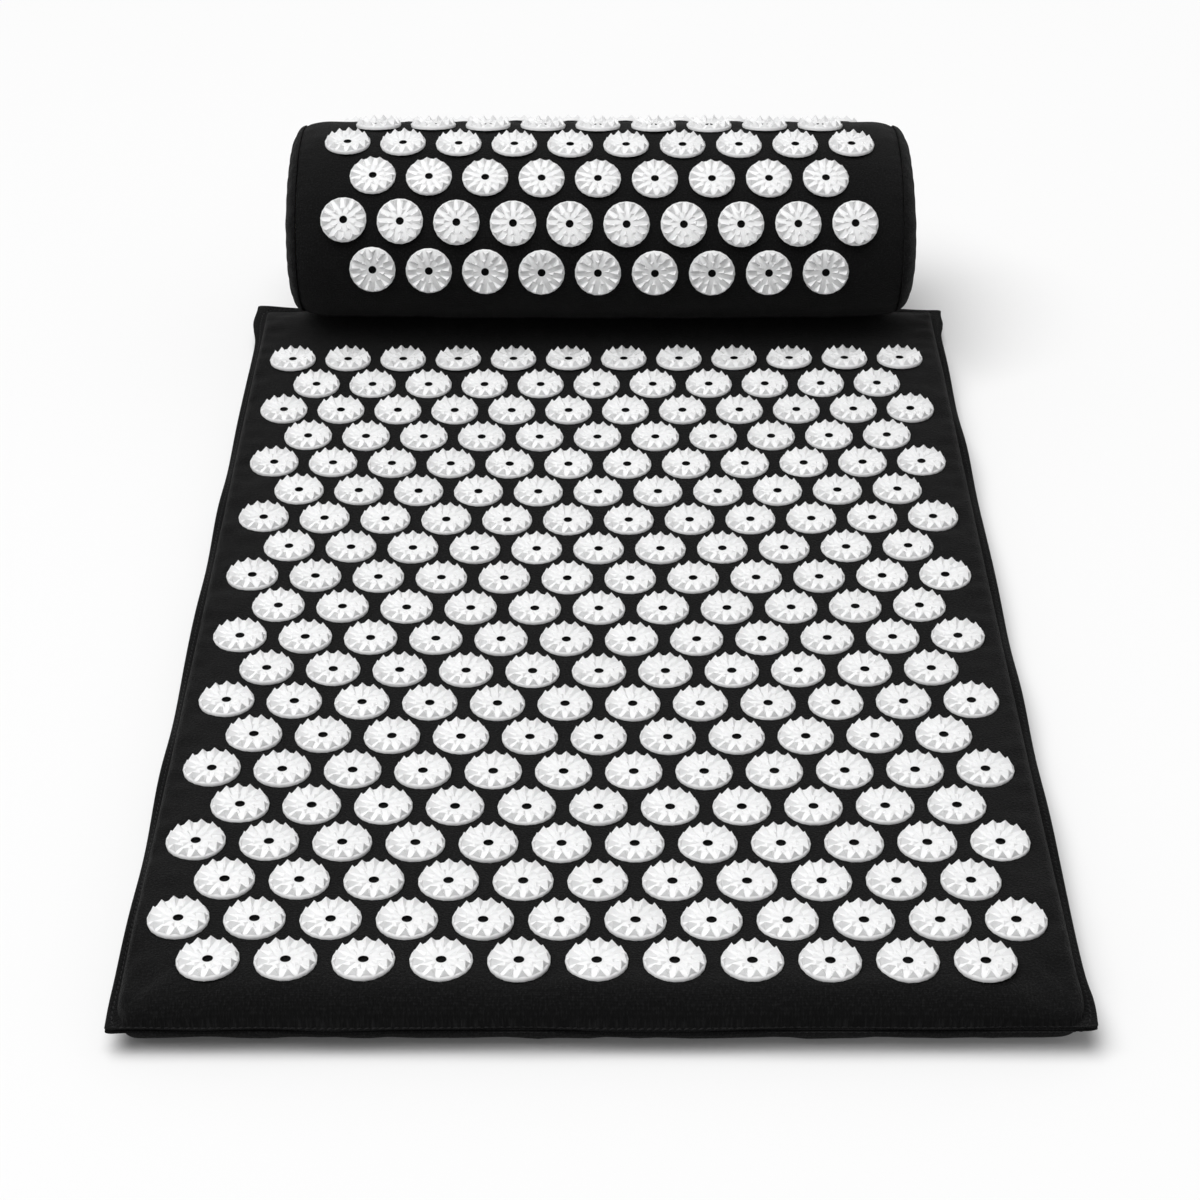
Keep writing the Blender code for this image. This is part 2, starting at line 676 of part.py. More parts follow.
def make_slider(prefix, frame, closed_x):
    """The slider: two plates on a wedge, lips that guide the chain, and a bridge for the pull."""
    outer_low = GAP + COIL_THICKNESS + GAP
    outer_high = outer_low + PLATE_THICKNESS
    inner_high = -TAPE_THICKNESS - GAP
    inner_low = inner_high - PLATE_THICKNESS
    seat = (closed_x, 0.0, 0.0)
    wedge = CHAIN_SLIT / 2 - GAP
    slider = tapered_plate(prefix + "_zip_slider", outer_low, outer_high, frame, seat, False)
    pieces = [tapered_plate(prefix + "_slider_inner_plate", inner_low, inner_high, frame, seat, True)]
    low = (SLIDER_LENGTH / 2 - PLATE_THICKNESS - WEDGE_LENGTH, -wedge, inner_low + PLATE_THICKNESS / 2)
    high = (SLIDER_LENGTH / 2 - PLATE_THICKNESS, wedge, outer_high - PLATE_THICKNESS / 2)
    pieces.append(rounded_box(prefix + "_slider_wedge", low, high, ZIP_METAL, frame, seat, 0.0, True))
    lip_inner = CHAIN_SLIT / 2 + COIL_WIDTH + GAP
    reach = SLIDER_LENGTH / 2 - PLATE_THICKNESS
    for label, side in (("left", 1.0), ("right", -1.0)):
        edges = sorted((side * lip_inner, side * (lip_inner + LIP_THICKNESS)))
        low = (-reach, edges[0], GAP)
        high = (reach, edges[1], outer_low + PLATE_THICKNESS / 2)
        name = prefix + "_slider_lip_" + label
        pieces.append(rounded_box(name, low, high, ZIP_METAL, frame, seat, 0.0, True))
    pieces.append(bridge_arch(prefix + "_slider_bridge", outer_high, frame, seat))
    for piece in pieces:
        join_bodies(slider, piece)
    axis = add_empty(prefix + "_pull_axis", (closed_x, 0.0, outer_high + PULL_AXIS_HEIGHT), parent=frame)
    make_pull(prefix + "_zip_pull", axis)


def make_zip(prefix, frame, chain):
    """One coil zip, closed, with its slider at the +X end against the top stops."""
    half = chain / 2
    tape_half = half + TAPE_TAIL
    inner = CHAIN_SLIT / 2
    coil_low = GAP
    coil_high = GAP + COIL_THICKNESS
    for label, side in (("upper", 1.0), ("lower", -1.0)):
        edges = sorted((side * inner, side * (inner + TAPE_WIDTH)))
        rounded_box(f"{prefix}_zip_tape_{label}", (-tape_half, edges[0], -TAPE_THICKNESS),
                    (tape_half, edges[1], 0.0), TAPE, frame, edge=0.0)
        edges = sorted((side * inner, side * (inner + COIL_WIDTH)))
        rounded_box(f"{prefix}_zip_coil_{label}", (-half, edges[0], coil_low), (half, edges[1], coil_high),
                    COIL, frame)
        rounded_box(f"{prefix}_zip_top_stop_{label}", (half + GAP, edges[0], coil_low),
                    (half + GAP + STOP_LENGTH, edges[1], coil_high + GAP), ZIP_METAL, frame)
    across = inner + COIL_WIDTH
    rounded_box(f"{prefix}_zip_bottom_stop", (-half - GAP - STOP_LENGTH, -across, coil_low),
                (-half - GAP, across, coil_high + GAP), ZIP_METAL, frame)
    make_slider(prefix, frame, half - SLIDER_LENGTH / 2)


def mat_zip_frame():
    """The mat's zip stands in the far side, facing away from the disc field."""
    place = (0.0, PAD_FAR - MAT_ZIP_DEPTH - MIDDLE_Y, seam_height(PAD_FAR))
    return add_empty("mat_zip_frame", place, (math.radians(90), 0.0, math.radians(180)))


def pillow_zip_frame():
    """The pillow's zip lies in the back seam, square to the cover there."""
    turn = math.pi + BACK_SEAM_DROP
    here = placed_barrel(0.0, turn)
    normal = Vector((0.0, -math.cos(turn) / HALF_DEPTH, math.sin(turn) / HALF_HEIGHT)).normalized()
    place = here - normal * PILLOW_ZIP_DEPTH
    along = Vector((-1.0, 0.0, 0.0))
    axes = Matrix((along, normal.cross(along), normal)).transposed()
    return add_empty("pillow_zip_frame", place, axes.to_euler())


make_mat_cover()
make_mat_foam()
make_zip("mat", mat_zip_frame(), MAT_CHAIN)
back_seam = pillow_zip_frame()
make_pillow_cover(back_seam)
make_pillow_ends()
make_pillow_foam(back_seam)
make_zip("pillow", back_seam, PILLOW_CHAIN)
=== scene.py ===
"""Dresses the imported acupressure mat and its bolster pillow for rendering.

Canvas covers, spiked plastic discs, sewing thread, foam and coil zips are surfaces worked out with numpy
from the model's own sizes, in metres: +X across the mat, +Y from its near edge towards the pillow, +Z up.
"""

import math

import bpy
import numpy as np
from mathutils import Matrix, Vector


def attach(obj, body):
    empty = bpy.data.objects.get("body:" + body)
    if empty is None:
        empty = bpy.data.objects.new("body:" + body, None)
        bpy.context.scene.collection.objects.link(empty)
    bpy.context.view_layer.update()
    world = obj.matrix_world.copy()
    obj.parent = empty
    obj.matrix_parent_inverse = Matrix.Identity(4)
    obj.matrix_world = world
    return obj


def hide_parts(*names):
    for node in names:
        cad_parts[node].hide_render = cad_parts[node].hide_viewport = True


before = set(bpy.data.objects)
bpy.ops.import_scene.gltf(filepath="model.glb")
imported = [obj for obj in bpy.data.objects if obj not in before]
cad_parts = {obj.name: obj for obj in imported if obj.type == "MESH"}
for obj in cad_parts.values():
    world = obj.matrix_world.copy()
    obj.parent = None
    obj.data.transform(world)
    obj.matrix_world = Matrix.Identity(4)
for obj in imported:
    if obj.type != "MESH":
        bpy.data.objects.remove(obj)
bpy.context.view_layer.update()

bl_info = {
    "name": "Acupressure Mat Dresser",
    "version": (1, 0, 0),
    "blender": (4, 5, 0),
    "location": "3D View > Sidebar > Mat",
    "description": "Builds covers, spiked discs, stitching, foam, zips and a stage on the packed model",
    "category": "Object",
}

TINY = 1e-6

# Cloth, gaps and the field of discs, as in the model
CLOTH = 0.0009
GAP = 0.0003
FOAM_GAP = 0.0006
LINING = CLOTH + FOAM_GAP
COLUMN_PITCH = 0.0327
ROW_PITCH = COLUMN_PITCH * math.sin(math.radians(60))
DISC_TURN = math.radians(137.5)
DISC_LEAN = 0.014
DISC_RADIUS = 0.01325
PRESS_RUN = 0.005

# Mat, measured from the middle of its field of discs
MAT_ROWS = 20
MAT_LONG_ROW = 12
HALF_FIELD = (MAT_ROWS - 1) / 2 * ROW_PITCH
HALF_FIELD_WIDTH = (MAT_LONG_ROW - 1) / 2 * COLUMN_PITCH
MAT_THICKNESS = 0.019
DISH_RISE = 0.006
DISH_SIDE_RISE = 0.0015
LEAN_SHARE = 0.006
FLANGE = 0.0055
NEAR_EDGE = -HALF_FIELD - 0.0252
FAR_EDGE = HALF_FIELD + 0.0922
MAT_HALF_WIDTH = HALF_FIELD_WIDTH + 0.02815
PAD_HALF_WIDTH = MAT_HALF_WIDTH - FLANGE
PAD_NEAR = NEAR_EDGE + FLANGE
PAD_FAR = FAR_EDGE - FLANGE
LEVEL_START = FAR_EDGE - 0.051
NEAR_SEAM_HEIGHT = 0.0135
FAR_SEAM_HEIGHT = 0.012
TOP_ROLL = 0.009
SIDE_ROLL = 0.0045
BOTTOM_ROLL = 0.008
CORNER_RADIUS = 0.016
NEAR_CORNER = 0.010
FAR_CORNER = 0.014
NEAR_EAR = 0.0050
FAR_EAR = 0.0020
NEAR_LIFT = 0.004
LIFT_RUN = 0.125
LEFT_FLARE = 0.0025
RIGHT_FLARE = 0.004
FLARE_RUN = 0.050
STITCH_ROW = 0.0024
STITCH_ROW_DRIFT = 0.0008
STITCH_SLANT = 0.28

# How the real mat strays from the model: uneven padding, crept canvas, slack corners and moved edges
UNEVEN_MIDDLE = 0.0004
UNEVEN_ENDS = 0.0026
UNEVEN_SIDES = 0.0008
UNEVEN_CORNERS = 0.0021
UNEVEN_TWIST = 0.0005
CREEP = (0.00065, -0.00044, -0.00124)
CREEP_SPREAD = (0.00013, -0.00097, -0.00070)
NEAR_SLACK = 0.50
NEAR_SLACK_RUN = 0.026
EAR_FALL = 0.038
EAR_START, EAR_END = 0.168, 0.182
FOAM_EAR_SLACK = 0.35
FOAM_EAR_RUN = 0.032
FOAM_CUT_BACK = 0.004
LEFT_INSET, RIGHT_INSET = 0.0009, 0.0005
LEFT_TAPER = 0.0042
TAPER_START, TAPER_RUN = 0.18, 0.38
LEFT_SEAM_SHIFT, RIGHT_SEAM_SHIFT, NEAR_SEAM_SHIFT = 0.0014, 0.0008, 0.0042
LEFT_NEAR_SWELL, RIGHT_NEAR_SWELL = -0.0003, 0.0010

# Swells and grooves as bells: height, middle, width
NEAR_SWELL_FORM = (1.0, 0.016, 0.010)
LEFT_EAR_SWELL = (0.0027, 0.023, 0.014)
RIGHT_EAR_SWELL = (0.0016, 0.020, 0.009)
CREASE_FORM = (0.00035, 0.018, 0.012)
SEAM_GROOVE = (-0.00030, 0.0, 0.0007)

# Fine relief of the canvas, and the grids that carry it
FLANGE_FULLNESS = 0.00035
STITCH_DIP, STITCH_DIP_WIDTH = 0.00040, 0.0006
MAT_RIPPLE, WRAP_RIPPLE, END_RIPPLE = 0.00022, 0.00030, 0.0005
SEAM_FULLNESS = 0.0005
TOP_SPACING, BOTTOM_SPACING, FOAM_SPACING = 0.003, 0.007, 0.014
WRAP_COLUMNS, WRAP_ROWS, BASE_ROWS = 104, 122, 46
END_SIDES = 240
CORE_SIDES, CORE_RINGS = 96, 33

# Pillow
PILLOW_ROWS = 7
PILLOW_LONG_ROW = 10
HALF_DEPTH = 0.1444 / 2
HALF_HEIGHT = 0.1074 / 2
PILLOW_FLAT = 0.0015
HALF_LENGTH = (PILLOW_LONG_ROW - 1) / 2 * COLUMN_PITCH + 0.02815
FRONT_SLACK = 0.002
TOP_FILL = 0.003
RIGHT_STRETCH = 0.0020
PILLOW_CROWN = 0.002
END_ROLL = 0.0025
END_ROLL_SHARE = 0.92
END_PUFF = 0.006
PUFF_POWER = 7
END_STRETCH = 0.0021
END_STRETCH_LESS_ON_TOP = 0.0009
END_SEAM_WIDTH = 0.0016
END_BAND = 0.0175
END_FOAM_GAP = 0.004
BACK_ROWS_SHIFT = 0.020
SLIP_AT_ENDS = 0.0024
SLIP_LEAN = 0.0068
FRONT_SEAM_DROP = math.radians(51)
BACK_SEAM_DROP = math.radians(25)
CROWN_TURN = math.radians(-20)
PILLOW_Y = FAR_EDGE + 0.0598 - HALF_DEPTH
MIDDLE_Y = (NEAR_EDGE + PILLOW_Y + HALF_DEPTH) / 2

# Zips
ZIP_SLOT = 0.0116
MAT_CHAIN = 2 * (MAT_HALF_WIDTH - 0.068)
PILLOW_CHAIN = 2 * (HALF_LENGTH - 0.0653)
TAPE_TAIL = 0.024
TAPE_LAP = 0.002
TAPE_THICKNESS = 0.0006
PLATE_THICKNESS = 0.0012
CHAIN_SLIT = 0.0014
COIL_WIDTH = 0.0024
COIL_THICKNESS = 0.0018
MAT_ZIP_DEPTH = 0.0034
PILLOW_ZIP_DEPTH = 0.0022
ZIP_RELIEF = TAPE_THICKNESS + PLATE_THICKNESS + 3 * GAP
COIL_OVERLAP = 0.0002
WIRE_STEPS = 10
WIRE_SIDES = 5

# Stage
SOFTBOX_PLACE = (-0.78, -0.60, 3.15)
SOFTBOX_AIM = (0.0, 0.05, 0.0)
SOFTBOX_SIZE = (2.8, 3.0)
FLOOR_REACH = 12.0
FLOOR_WHITE = 0.785
FLOOR_LIT = 0.786
FLOOR_FALL = 0.0524
CAMERA_PLACE = (0.0012, -1.1992, 0.7840)
CAMERA_TILT = math.radians(56.59)
CAMERA_LENS = 81.1


# Number work

def ease(low, high, value):
    """0 below low, 1 above high, and an S-curve between."""
    share = np.clip((value - low) / (high - low), 0.0, 1.0)
    return share * share * (3.0 - 2.0 * share)


def bell(value, middle, width):
    """1 at the middle, falling away as exp(-((value - middle) / width)^2)."""
    return np.exp(-((value - middle) / width) ** 2)


def swell(value, form):
    """A bell of a given height, middle and width."""
    height, middle, width = form
    return height * bell(value, middle, width)


def square_law(factors, value):
    """a + b v + c v^2, for factors a, b and c."""
    return factors[0] + factors[1] * value + factors[2] * value ** 2


def ripples(x, y, seed, waves, shortest, longest):
    """Uneven relief of about -1 to 1: a sum of sine waves with seeded directions, lengths and phases."""
    total = np.zeros(np.broadcast(x, y).shape)
    for heading, size, phase in np.random.default_rng(seed).random((waves, 3)):
        length = shortest + (longest - shortest) * size
        across = x * math.cos(math.tau * heading) + y * math.sin(math.tau * heading)
        total += np.sin(math.tau * (across / length + phase))
    return total / math.sqrt(waves)


def unit(vectors):
    return vectors / np.maximum(np.linalg.norm(vectors, axis=-1, keepdims=True), TINY)


def grid_faces(rows, columns, closed=False, flip=False):
    """Corner numbers of the quads of a grid of points; closed joins the last column to the first."""
    row = np.arange(rows - 1)[:, None] * columns
    column = np.arange(columns if closed else columns - 1)[None, :]
    following = (column + 1) % columns
    faces = np.stack([row + column, row + following, row + columns + following, row + columns + column], -1)
    faces = faces.reshape(-1, 4)
    return faces[:, ::-1] if flip else faces


def repeat(points, face_sets, origins, axes):
    """Copies of one shape: each point is carried along the rows of its copy's axes from its origin."""
    placed = origins[:, None, :] + np.einsum("pk,nkc->npc", points, axes)
    steps = np.arange(len(origins)) * len(points)
    faces = [(steps[:, None, None] + each[None]).reshape(-1, each.shape[1]) for each in face_sets]
    return placed.reshape(-1, 3), faces


def even_points(points, step):
    """Points a step apart along a line of points."""
    runs = np.linalg.norm(np.diff(points, axis=0), axis=1)
    arc = np.concatenate([[0.0], np.cumsum(runs)])
    count = max(2, int(round(arc[-1] / step)))
    marks = (np.arange(count) + 0.5) * arc[-1] / count
    return np.stack([np.interp(marks, arc, points[:, k]) for k in range(3)], -1)


def frames_along(points, up):
    """Axes at each point of a line: along it, across it, and the given up made square to it."""
    along = unit(np.gradient(points, axis=0))
    across = unit(np.cross(up, along))
    return np.stack([along, across, np.cross(along, across)], 1)


def surface_frames(place, u, v, step):
    """Origins and axes on a surface: the first axis runs along u, and the third is the normal."""
    here = place(u, v)
    along = unit(place(u + step, v) - here)
    normal = unit(np.cross(along, place(u, v + step) - here))
    return here, np.stack([along, np.cross(normal, along), normal], 1)


def tipped(axes, turns, seed):
    """Axes turned about their own normal, and leaning a little in seeded directions."""
    cos, sin = np.cos(turns)[:, None], np.sin(turns)[:, None]
    along = axes[:, 0] * cos + axes[:, 1] * sin
    draw = np.random.default_rng(seed).normal(0.0, DISC_LEAN, (len(turns), 2))
    normal = unit(axes[:, 2] + draw[:, :1] * axes[:, 0] + draw[:, 1:] * axes[:, 1])
    across = unit(np.cross(normal, along))
    return np.stack([np.cross(across, normal), across, normal], 1)


# Meshes

def make_piece(name, points, face_sets, material, body, uv=None, tone=None, sharp=None):
    """Puts points and faces into a new object that rides on a body and takes its finish from a slot."""
    mesh = bpy.data.meshes.new(name)
    faces = [face for each in face_sets for face in each.tolist()]
    mesh.from_pydata(points.tolist(), [], faces)
    mesh.polygons.foreach_set("use_smooth", np.ones(len(faces), bool))
    corners = np.zeros(len(mesh.loops), np.int32)
    mesh.loops.foreach_get("vertex_index", corners)
    if uv is not None:
        mesh.uv_layers.new(name="cloth").data.foreach_set("uv", uv[corners].astype(np.float32).ravel())
    if tone is not None:
        mesh.attributes.new("tone", "FLOAT", "POINT").data.foreach_set("value", tone.astype(np.float32))
    if sharp is not None:
        mesh.set_sharp_from_angle(angle=sharp)
    mesh.materials.append(material)
    mesh.update()
    piece = bpy.data.objects.new(name, mesh)
    bpy.context.scene.collection.objects.link(piece)
    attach(piece, body)
    return piece


def give_thickness(piece):
    """Gives a canvas piece its thickness, inside the face that it is drawn by."""
    wall = piece.modifiers.new("cloth", "SOLIDIFY")
    wall.thickness = CLOTH
    wall.offset = -1.0


def make_sheet(name, points, uv, material, body, flip=False):
    """One layer of canvas: a grid of points on its outer face, with its thickness inside."""
    faces = grid_faces(*points.shape[:2], flip=flip)
    piece = make_piece(name, points.reshape(-1, 3), [faces], material, body,
                       uv.reshape(-1, 2))
    give_thickness(piece)
    return piece


# Materials

def add_node(tree, kind, settings=None, values=None):
    node = tree.nodes.new(kind)
    for key, value in (settings or {}).items():
        setattr(node, key, value)
    for key, value in (values or {}).items():
        node.inputs[key].default_value = value
    return node


def math_node(tree, operation, first, second=None, third=None):
    """A Math node fed by sockets or numbers; gives its output."""
    node = add_node(tree, "ShaderNodeMath", {"operation": operation})
    for place, value in enumerate((first, second, third)):
        if value is None:
            continue
        if isinstance(value, (int, float)):
            node.inputs[place].default_value = value
        else:
            tree.links.new(value, node.inputs[place])
    return node.outputs[0]


def new_group(name, inputs, outputs):
    """An empty node group with named sockets: (kind, name, default) in, (kind, name) out."""
    group = bpy.data.node_groups.new(name, "ShaderNodeTree")
    for kind, label, default in inputs:
        socket = group.interface.new_socket(name=label, in_out="INPUT", socket_type=kind)
        if default is not None:
            socket.default_value = default
    for kind, label in outputs:
        group.interface.new_socket(name=label, in_out="OUTPUT", socket_type=kind)
    return group, group.nodes.new("NodeGroupInput"), group.nodes.new("NodeGroupOutput")


def weave_group():
    """Plain weave: yarns one pitch apart pass over and under each other.

    Height is the greater of two ridges, |sin u| and |sin v|, each lifted where it passes over; Yarn is an
    uneven tone along the yarns.
    """
    known = bpy.data.node_groups.get("plain_weave")
    if known:
        return known
    group, start, end = new_group(
        "plain_weave",
        [("NodeSocketVector", "Vector", None), ("NodeSocketFloat", "Pitch", 0.0006),
         ("NodeSocketFloat", "Unevenness", 0.35)],
        [("NodeSocketFloat", "Height"), ("NodeSocketFloat", "Yarn")])
    scale = math_node(group, "DIVIDE", math.pi, start.outputs["Pitch"])
    scaled = add_node(group, "ShaderNodeVectorMath", {"operation": "SCALE"})
    group.links.new(start.outputs["Vector"], scaled.inputs[0])
    group.links.new(scale, scaled.inputs["Scale"])
    drift = flat_noise(group, start.outputs["Vector"], 260.0, 1.0)
    shift = math_node(group, "MULTIPLY", drift, start.outputs["Unevenness"])
    shift = math_node(group, "MULTIPLY", shift, math.tau)
    axes = add_node(group, "ShaderNodeSeparateXYZ")
    group.links.new(scaled.outputs[0], axes.inputs[0])
    waves = [math_node(group, "SINE", math_node(group, "ADD", axes.outputs[k], shift)) for k in (0, 1)]
    over = math_node(group, "MULTIPLY", math_node(group, "MULTIPLY", waves[0], waves[1]), 2.0)
    over = math_node(group, "MINIMUM", math_node(group, "MAXIMUM", over, -1.0), 1.0)
    warp = math_node(group, "MULTIPLY_ADD", over, 0.4, 0.6)
    weft = math_node(group, "MULTIPLY_ADD", over, -0.4, 0.6)
    warp = math_node(group, "MULTIPLY", math_node(group, "ABSOLUTE", waves[0]), warp)
    weft = math_node(group, "MULTIPLY", math_node(group, "ABSOLUTE", waves[1]), weft)
    group.links.new(math_node(group, "MAXIMUM", warp, weft), end.inputs["Height"])
    slubs = []
    for stretch in ((1500.0, 90.0, 1.0), (90.0, 1500.0, 1.0)):
        aim = add_node(group, "ShaderNodeMapping", {"vector_type": "POINT"}, {"Scale": stretch})
        group.links.new(start.outputs["Vector"], aim.inputs["Vector"])
        slubs.append(flat_noise(group, aim.outputs[0], 1.0, 2.0))
    yarn = math_node(group, "MULTIPLY", math_node(group, "ADD", *slubs), 0.5)
    group.links.new(yarn, end.inputs["Yarn"])
    return group


def flat_noise(tree, vector, scale, detail):
    """Noise on a vector's first two coordinates; gives its output."""
    noise = add_node(tree, "ShaderNodeTexNoise", {"noise_dimensions": "2D"},
                     {"Scale": scale, "Detail": detail})
    tree.links.new(vector, noise.inputs["Vector"])
    return noise.outputs["Fac"]


def grain_group():
    """Fine grain and broad patches: two noises, one tight and one wide."""
    known = bpy.data.node_groups.get("surface_grain")
    if known:
        return known
    group, start, end = new_group(
        "surface_grain",
        [("NodeSocketVector", "Vector", None), ("NodeSocketFloat", "Grain size", 0.0004),
         ("NodeSocketFloat", "Patch size", 0.03)],
        [("NodeSocketFloat", "Grain"), ("NodeSocketFloat", "Patch")])
    for label, size, detail in (("Grain", "Grain size", 3.0), ("Patch", "Patch size", 4.0)):
        noise = add_node(group, "ShaderNodeTexNoise", None, {"Detail": detail, "Roughness": 0.55})
        group.links.new(start.outputs["Vector"], noise.inputs["Vector"])
        group.links.new(math_node(group, "DIVIDE", 1.0, start.outputs[size]), noise.inputs["Scale"])
        group.links.new(noise.outputs["Fac"], end.inputs[label])
    return group


def use_group(tree, group, vector, values):
    node = add_node(tree, "ShaderNodeGroup", {"node_tree": group})
    tree.links.new(vector, node.inputs["Vector"])
    for key, value in values.items():
        node.inputs[key].default_value = value
    return node.outputs


def new_material(name, constants, color):
    """A material whose shader keeps its constants on its own sockets."""
    material = bpy.data.materials.new(name)
    material.use_nodes = True
    material.diffuse_color = (*color, 1.0)
    shader = material.node_tree.nodes["Principled BSDF"]
    for key, value in constants.items():
        shader.inputs[key].default_value = value
    return material, material.node_tree, shader


def object_vector(tree):
    return add_node(tree, "ShaderNodeTexCoord").outputs["Object"]


def cloth_vector(tree):
    return add_node(tree, "ShaderNodeUVMap", {"uv_map": "cloth"}).outputs["UV"]


def ramp(tree, value, stops):
    """A colour ramp with (position, colour) stops; gives its output."""
    node = add_node(tree, "ShaderNodeValToRGB")
    tree.links.new(value, node.inputs["Fac"])
    points = node.color_ramp.elements
    while len(points) < len(stops):
        points.new(0.5)
    for point, (position, color) in zip(points, stops):
        point.position = position
        point.color = (*color, 1.0)
    return node.outputs["Color"]


def shades(color, *levels):
    return [tuple(min(1.0, part * level) for part in color) for level in levels]


def blend_colors(tree, share, first, second, mode="MIX"):
    """A Mix node on two colours, each a socket or a colour."""
    node = add_node(tree, "ShaderNodeMix", {"data_type": "RGBA", "blend_type": mode})
    for key, value in ((0, share), (6, first), (7, second)):
        if isinstance(value, bpy.types.NodeSocket):
            tree.links.new(value, node.inputs[key])
        elif isinstance(value, tuple):
            node.inputs[key].default_value = (*value, 1.0)
        else:
            node.inputs[key].default_value = value
    return node.outputs[2]


def span(tree, value, low, high):
    """The value's middle range, 0.25 to 0.75, stretched to low and high."""
    node = add_node(tree, "ShaderNodeMapRange", None,
                    {"From Min": 0.25, "From Max": 0.75, "To Min": low, "To Max": high})
    tree.links.new(value, node.inputs["Value"])
    return node.outputs["Result"]


def bump(tree, shader, height, strength, distance):
    node = add_node(tree, "ShaderNodeBump", None, {"Strength": strength, "Distance": distance})
    tree.links.new(height, node.inputs["Height"])
    tree.links.new(node.outputs["Normal"], shader.inputs["Normal"])


def woven_material(name, color, pitch, vector_of, depth, sheen):
    """Woven cotton or tape: yarn relief with painted shade in the weave's hollows, uneven yarns, and faded
    patches with a soft nap.
    """
    material, tree, shader = new_material(
        name, {"Sheen Weight": sheen, "Sheen Roughness": 0.35, "Specular IOR Level": 0.09}, color)
    vector = vector_of(tree)
    weave = use_group(tree, weave_group(), vector, {"Pitch": pitch})
    grain = use_group(tree, grain_group(), vector, {"Grain size": pitch * 1.6, "Patch size": 0.045})
    deep, base, pale = shades(color, 0.2, 1.0, 3.2)
    yarn = ramp(tree, grain["Grain"], ((0.36, deep), (0.50, base), (0.64, pale)))
    # painted shade: where the weave is low, between the yarns, the colour is darkened towards the deep tone
    hollow_shade = blend_colors(tree, weave["Height"], deep, yarn)
    faded = blend_colors(tree, span(tree, weave["Yarn"], 0.0, 0.15), hollow_shade, pale)
    tree.links.new(faded, shader.inputs["Base Color"])
    tree.links.new(span(tree, grain["Grain"], 0.82, 0.97), shader.inputs["Roughness"])
    relief = math_node(tree, "MULTIPLY", weave["Height"], 0.28)
    height = math_node(tree, "MULTIPLY_ADD", grain["Grain"], 2.0, relief)
    bump(tree, shader, height, 1.0, depth)
    return material


def plastic_material(name, color):
    """Moulded polystyrene: satin skin, a trace of flow marks, and a tone that differs from disc to disc."""
    material, tree, shader = new_material(
        name, {"IOR": 1.49, "Specular IOR Level": 0.3, "Subsurface Weight": 0.3,
               "Subsurface Radius": (1.0, 1.0, 1.0), "Subsurface Scale": 0.0008}, color)
    vector = object_vector(tree)
    grain = use_group(tree, grain_group(), vector, {"Grain size": 0.0011, "Patch size": 0.012})
    tone = add_node(tree, "ShaderNodeAttribute", {"attribute_name": "tone", "attribute_type": "GEOMETRY"})
    cool, warm = shades(color, 0.96, 1.0)
    body = ramp(tree, tone.outputs["Fac"], ((0.0, cool), (1.0, warm)))
    marks = blend_colors(tree, span(tree, grain["Patch"], 0.0, 0.10), body, cool)
    tree.links.new(marks, shader.inputs["Base Color"])
    tree.links.new(span(tree, grain["Patch"], 0.42, 0.56), shader.inputs["Roughness"])
    bump(tree, shader, grain["Grain"], 0.12, 0.0002)
    return material


def thread_material(name, color):
    """Spun sewing thread: plies that wind round it, drawn by a wave along the stitch as painted shade in
    the grooves between plies, painted highlight on their crests, and a bump.
    """
    material, tree, shader = new_material(name, {"Sheen Weight": 0.03, "Specular IOR Level": 0.2}, color)
    vector = object_vector(tree)
    grain = use_group(tree, grain_group(), vector, {"Grain size": 0.0003, "Patch size": 0.02})
    plies = add_node(tree, "ShaderNodeTexWave", {"bands_direction": "DIAGONAL"},
                     {"Scale": 900.0, "Distortion": 0.8, "Detail": 1.0})
    tree.links.new(vector, plies.inputs["Vector"])
    deep, base, pale = shades(color, 0.6, 1.0, 1.5)
    # painted shade and highlight: the ply wave darkens the grooves and lightens the crests
    tree.links.new(ramp(tree, plies.outputs["Fac"], ((0.2, deep), (0.6, base), (0.9, pale))),
                   shader.inputs["Base Color"])
    tree.links.new(span(tree, grain["Grain"], 0.55, 0.75), shader.inputs["Roughness"])
    bump(tree, shader, plies.outputs["Fac"], 0.5, 0.0001)
    return material


def nylon_material(name, color):
    """Extruded nylon: smooth, with faint draw lines."""
    material, tree, shader = new_material(name, {"IOR": 1.53}, color)
    grain = use_group(tree, grain_group(), object_vector(tree), {"Grain size": 0.0005, "Patch size": 0.01})
    base, pale = shades(color, 1.0, 1.7)
    tree.links.new(blend_colors(tree, grain["Patch"], base, pale), shader.inputs["Base Color"])
    tree.links.new(span(tree, grain["Grain"], 0.28, 0.42), shader.inputs["Roughness"])
    bump(tree, shader, grain["Grain"], 0.2, 0.0001)
    return material


def metal_material(name, color):
    """Die-cast metal under black lacquer, rubbed brighter in small patches."""
    material, tree, shader = new_material(name, {}, color)
    grain = use_group(tree, grain_group(), object_vector(tree), {"Grain size": 0.0002, "Patch size": 0.004})
    rubbed = ramp(tree, grain["Patch"], ((0.62, (0.0, 0.0, 0.0)), (0.72, (1.0, 1.0, 1.0))))
    worn = blend_colors(tree, rubbed, color, (0.34, 0.34, 0.35))
    tree.links.new(worn, shader.inputs["Base Color"])
    tree.links.new(rubbed, shader.inputs["Metallic"])
    tree.links.new(span(tree, grain["Grain"], 0.22, 0.38), shader.inputs["Roughness"])
    bump(tree, shader, grain["Grain"], 0.15, 0.0001)
    return material


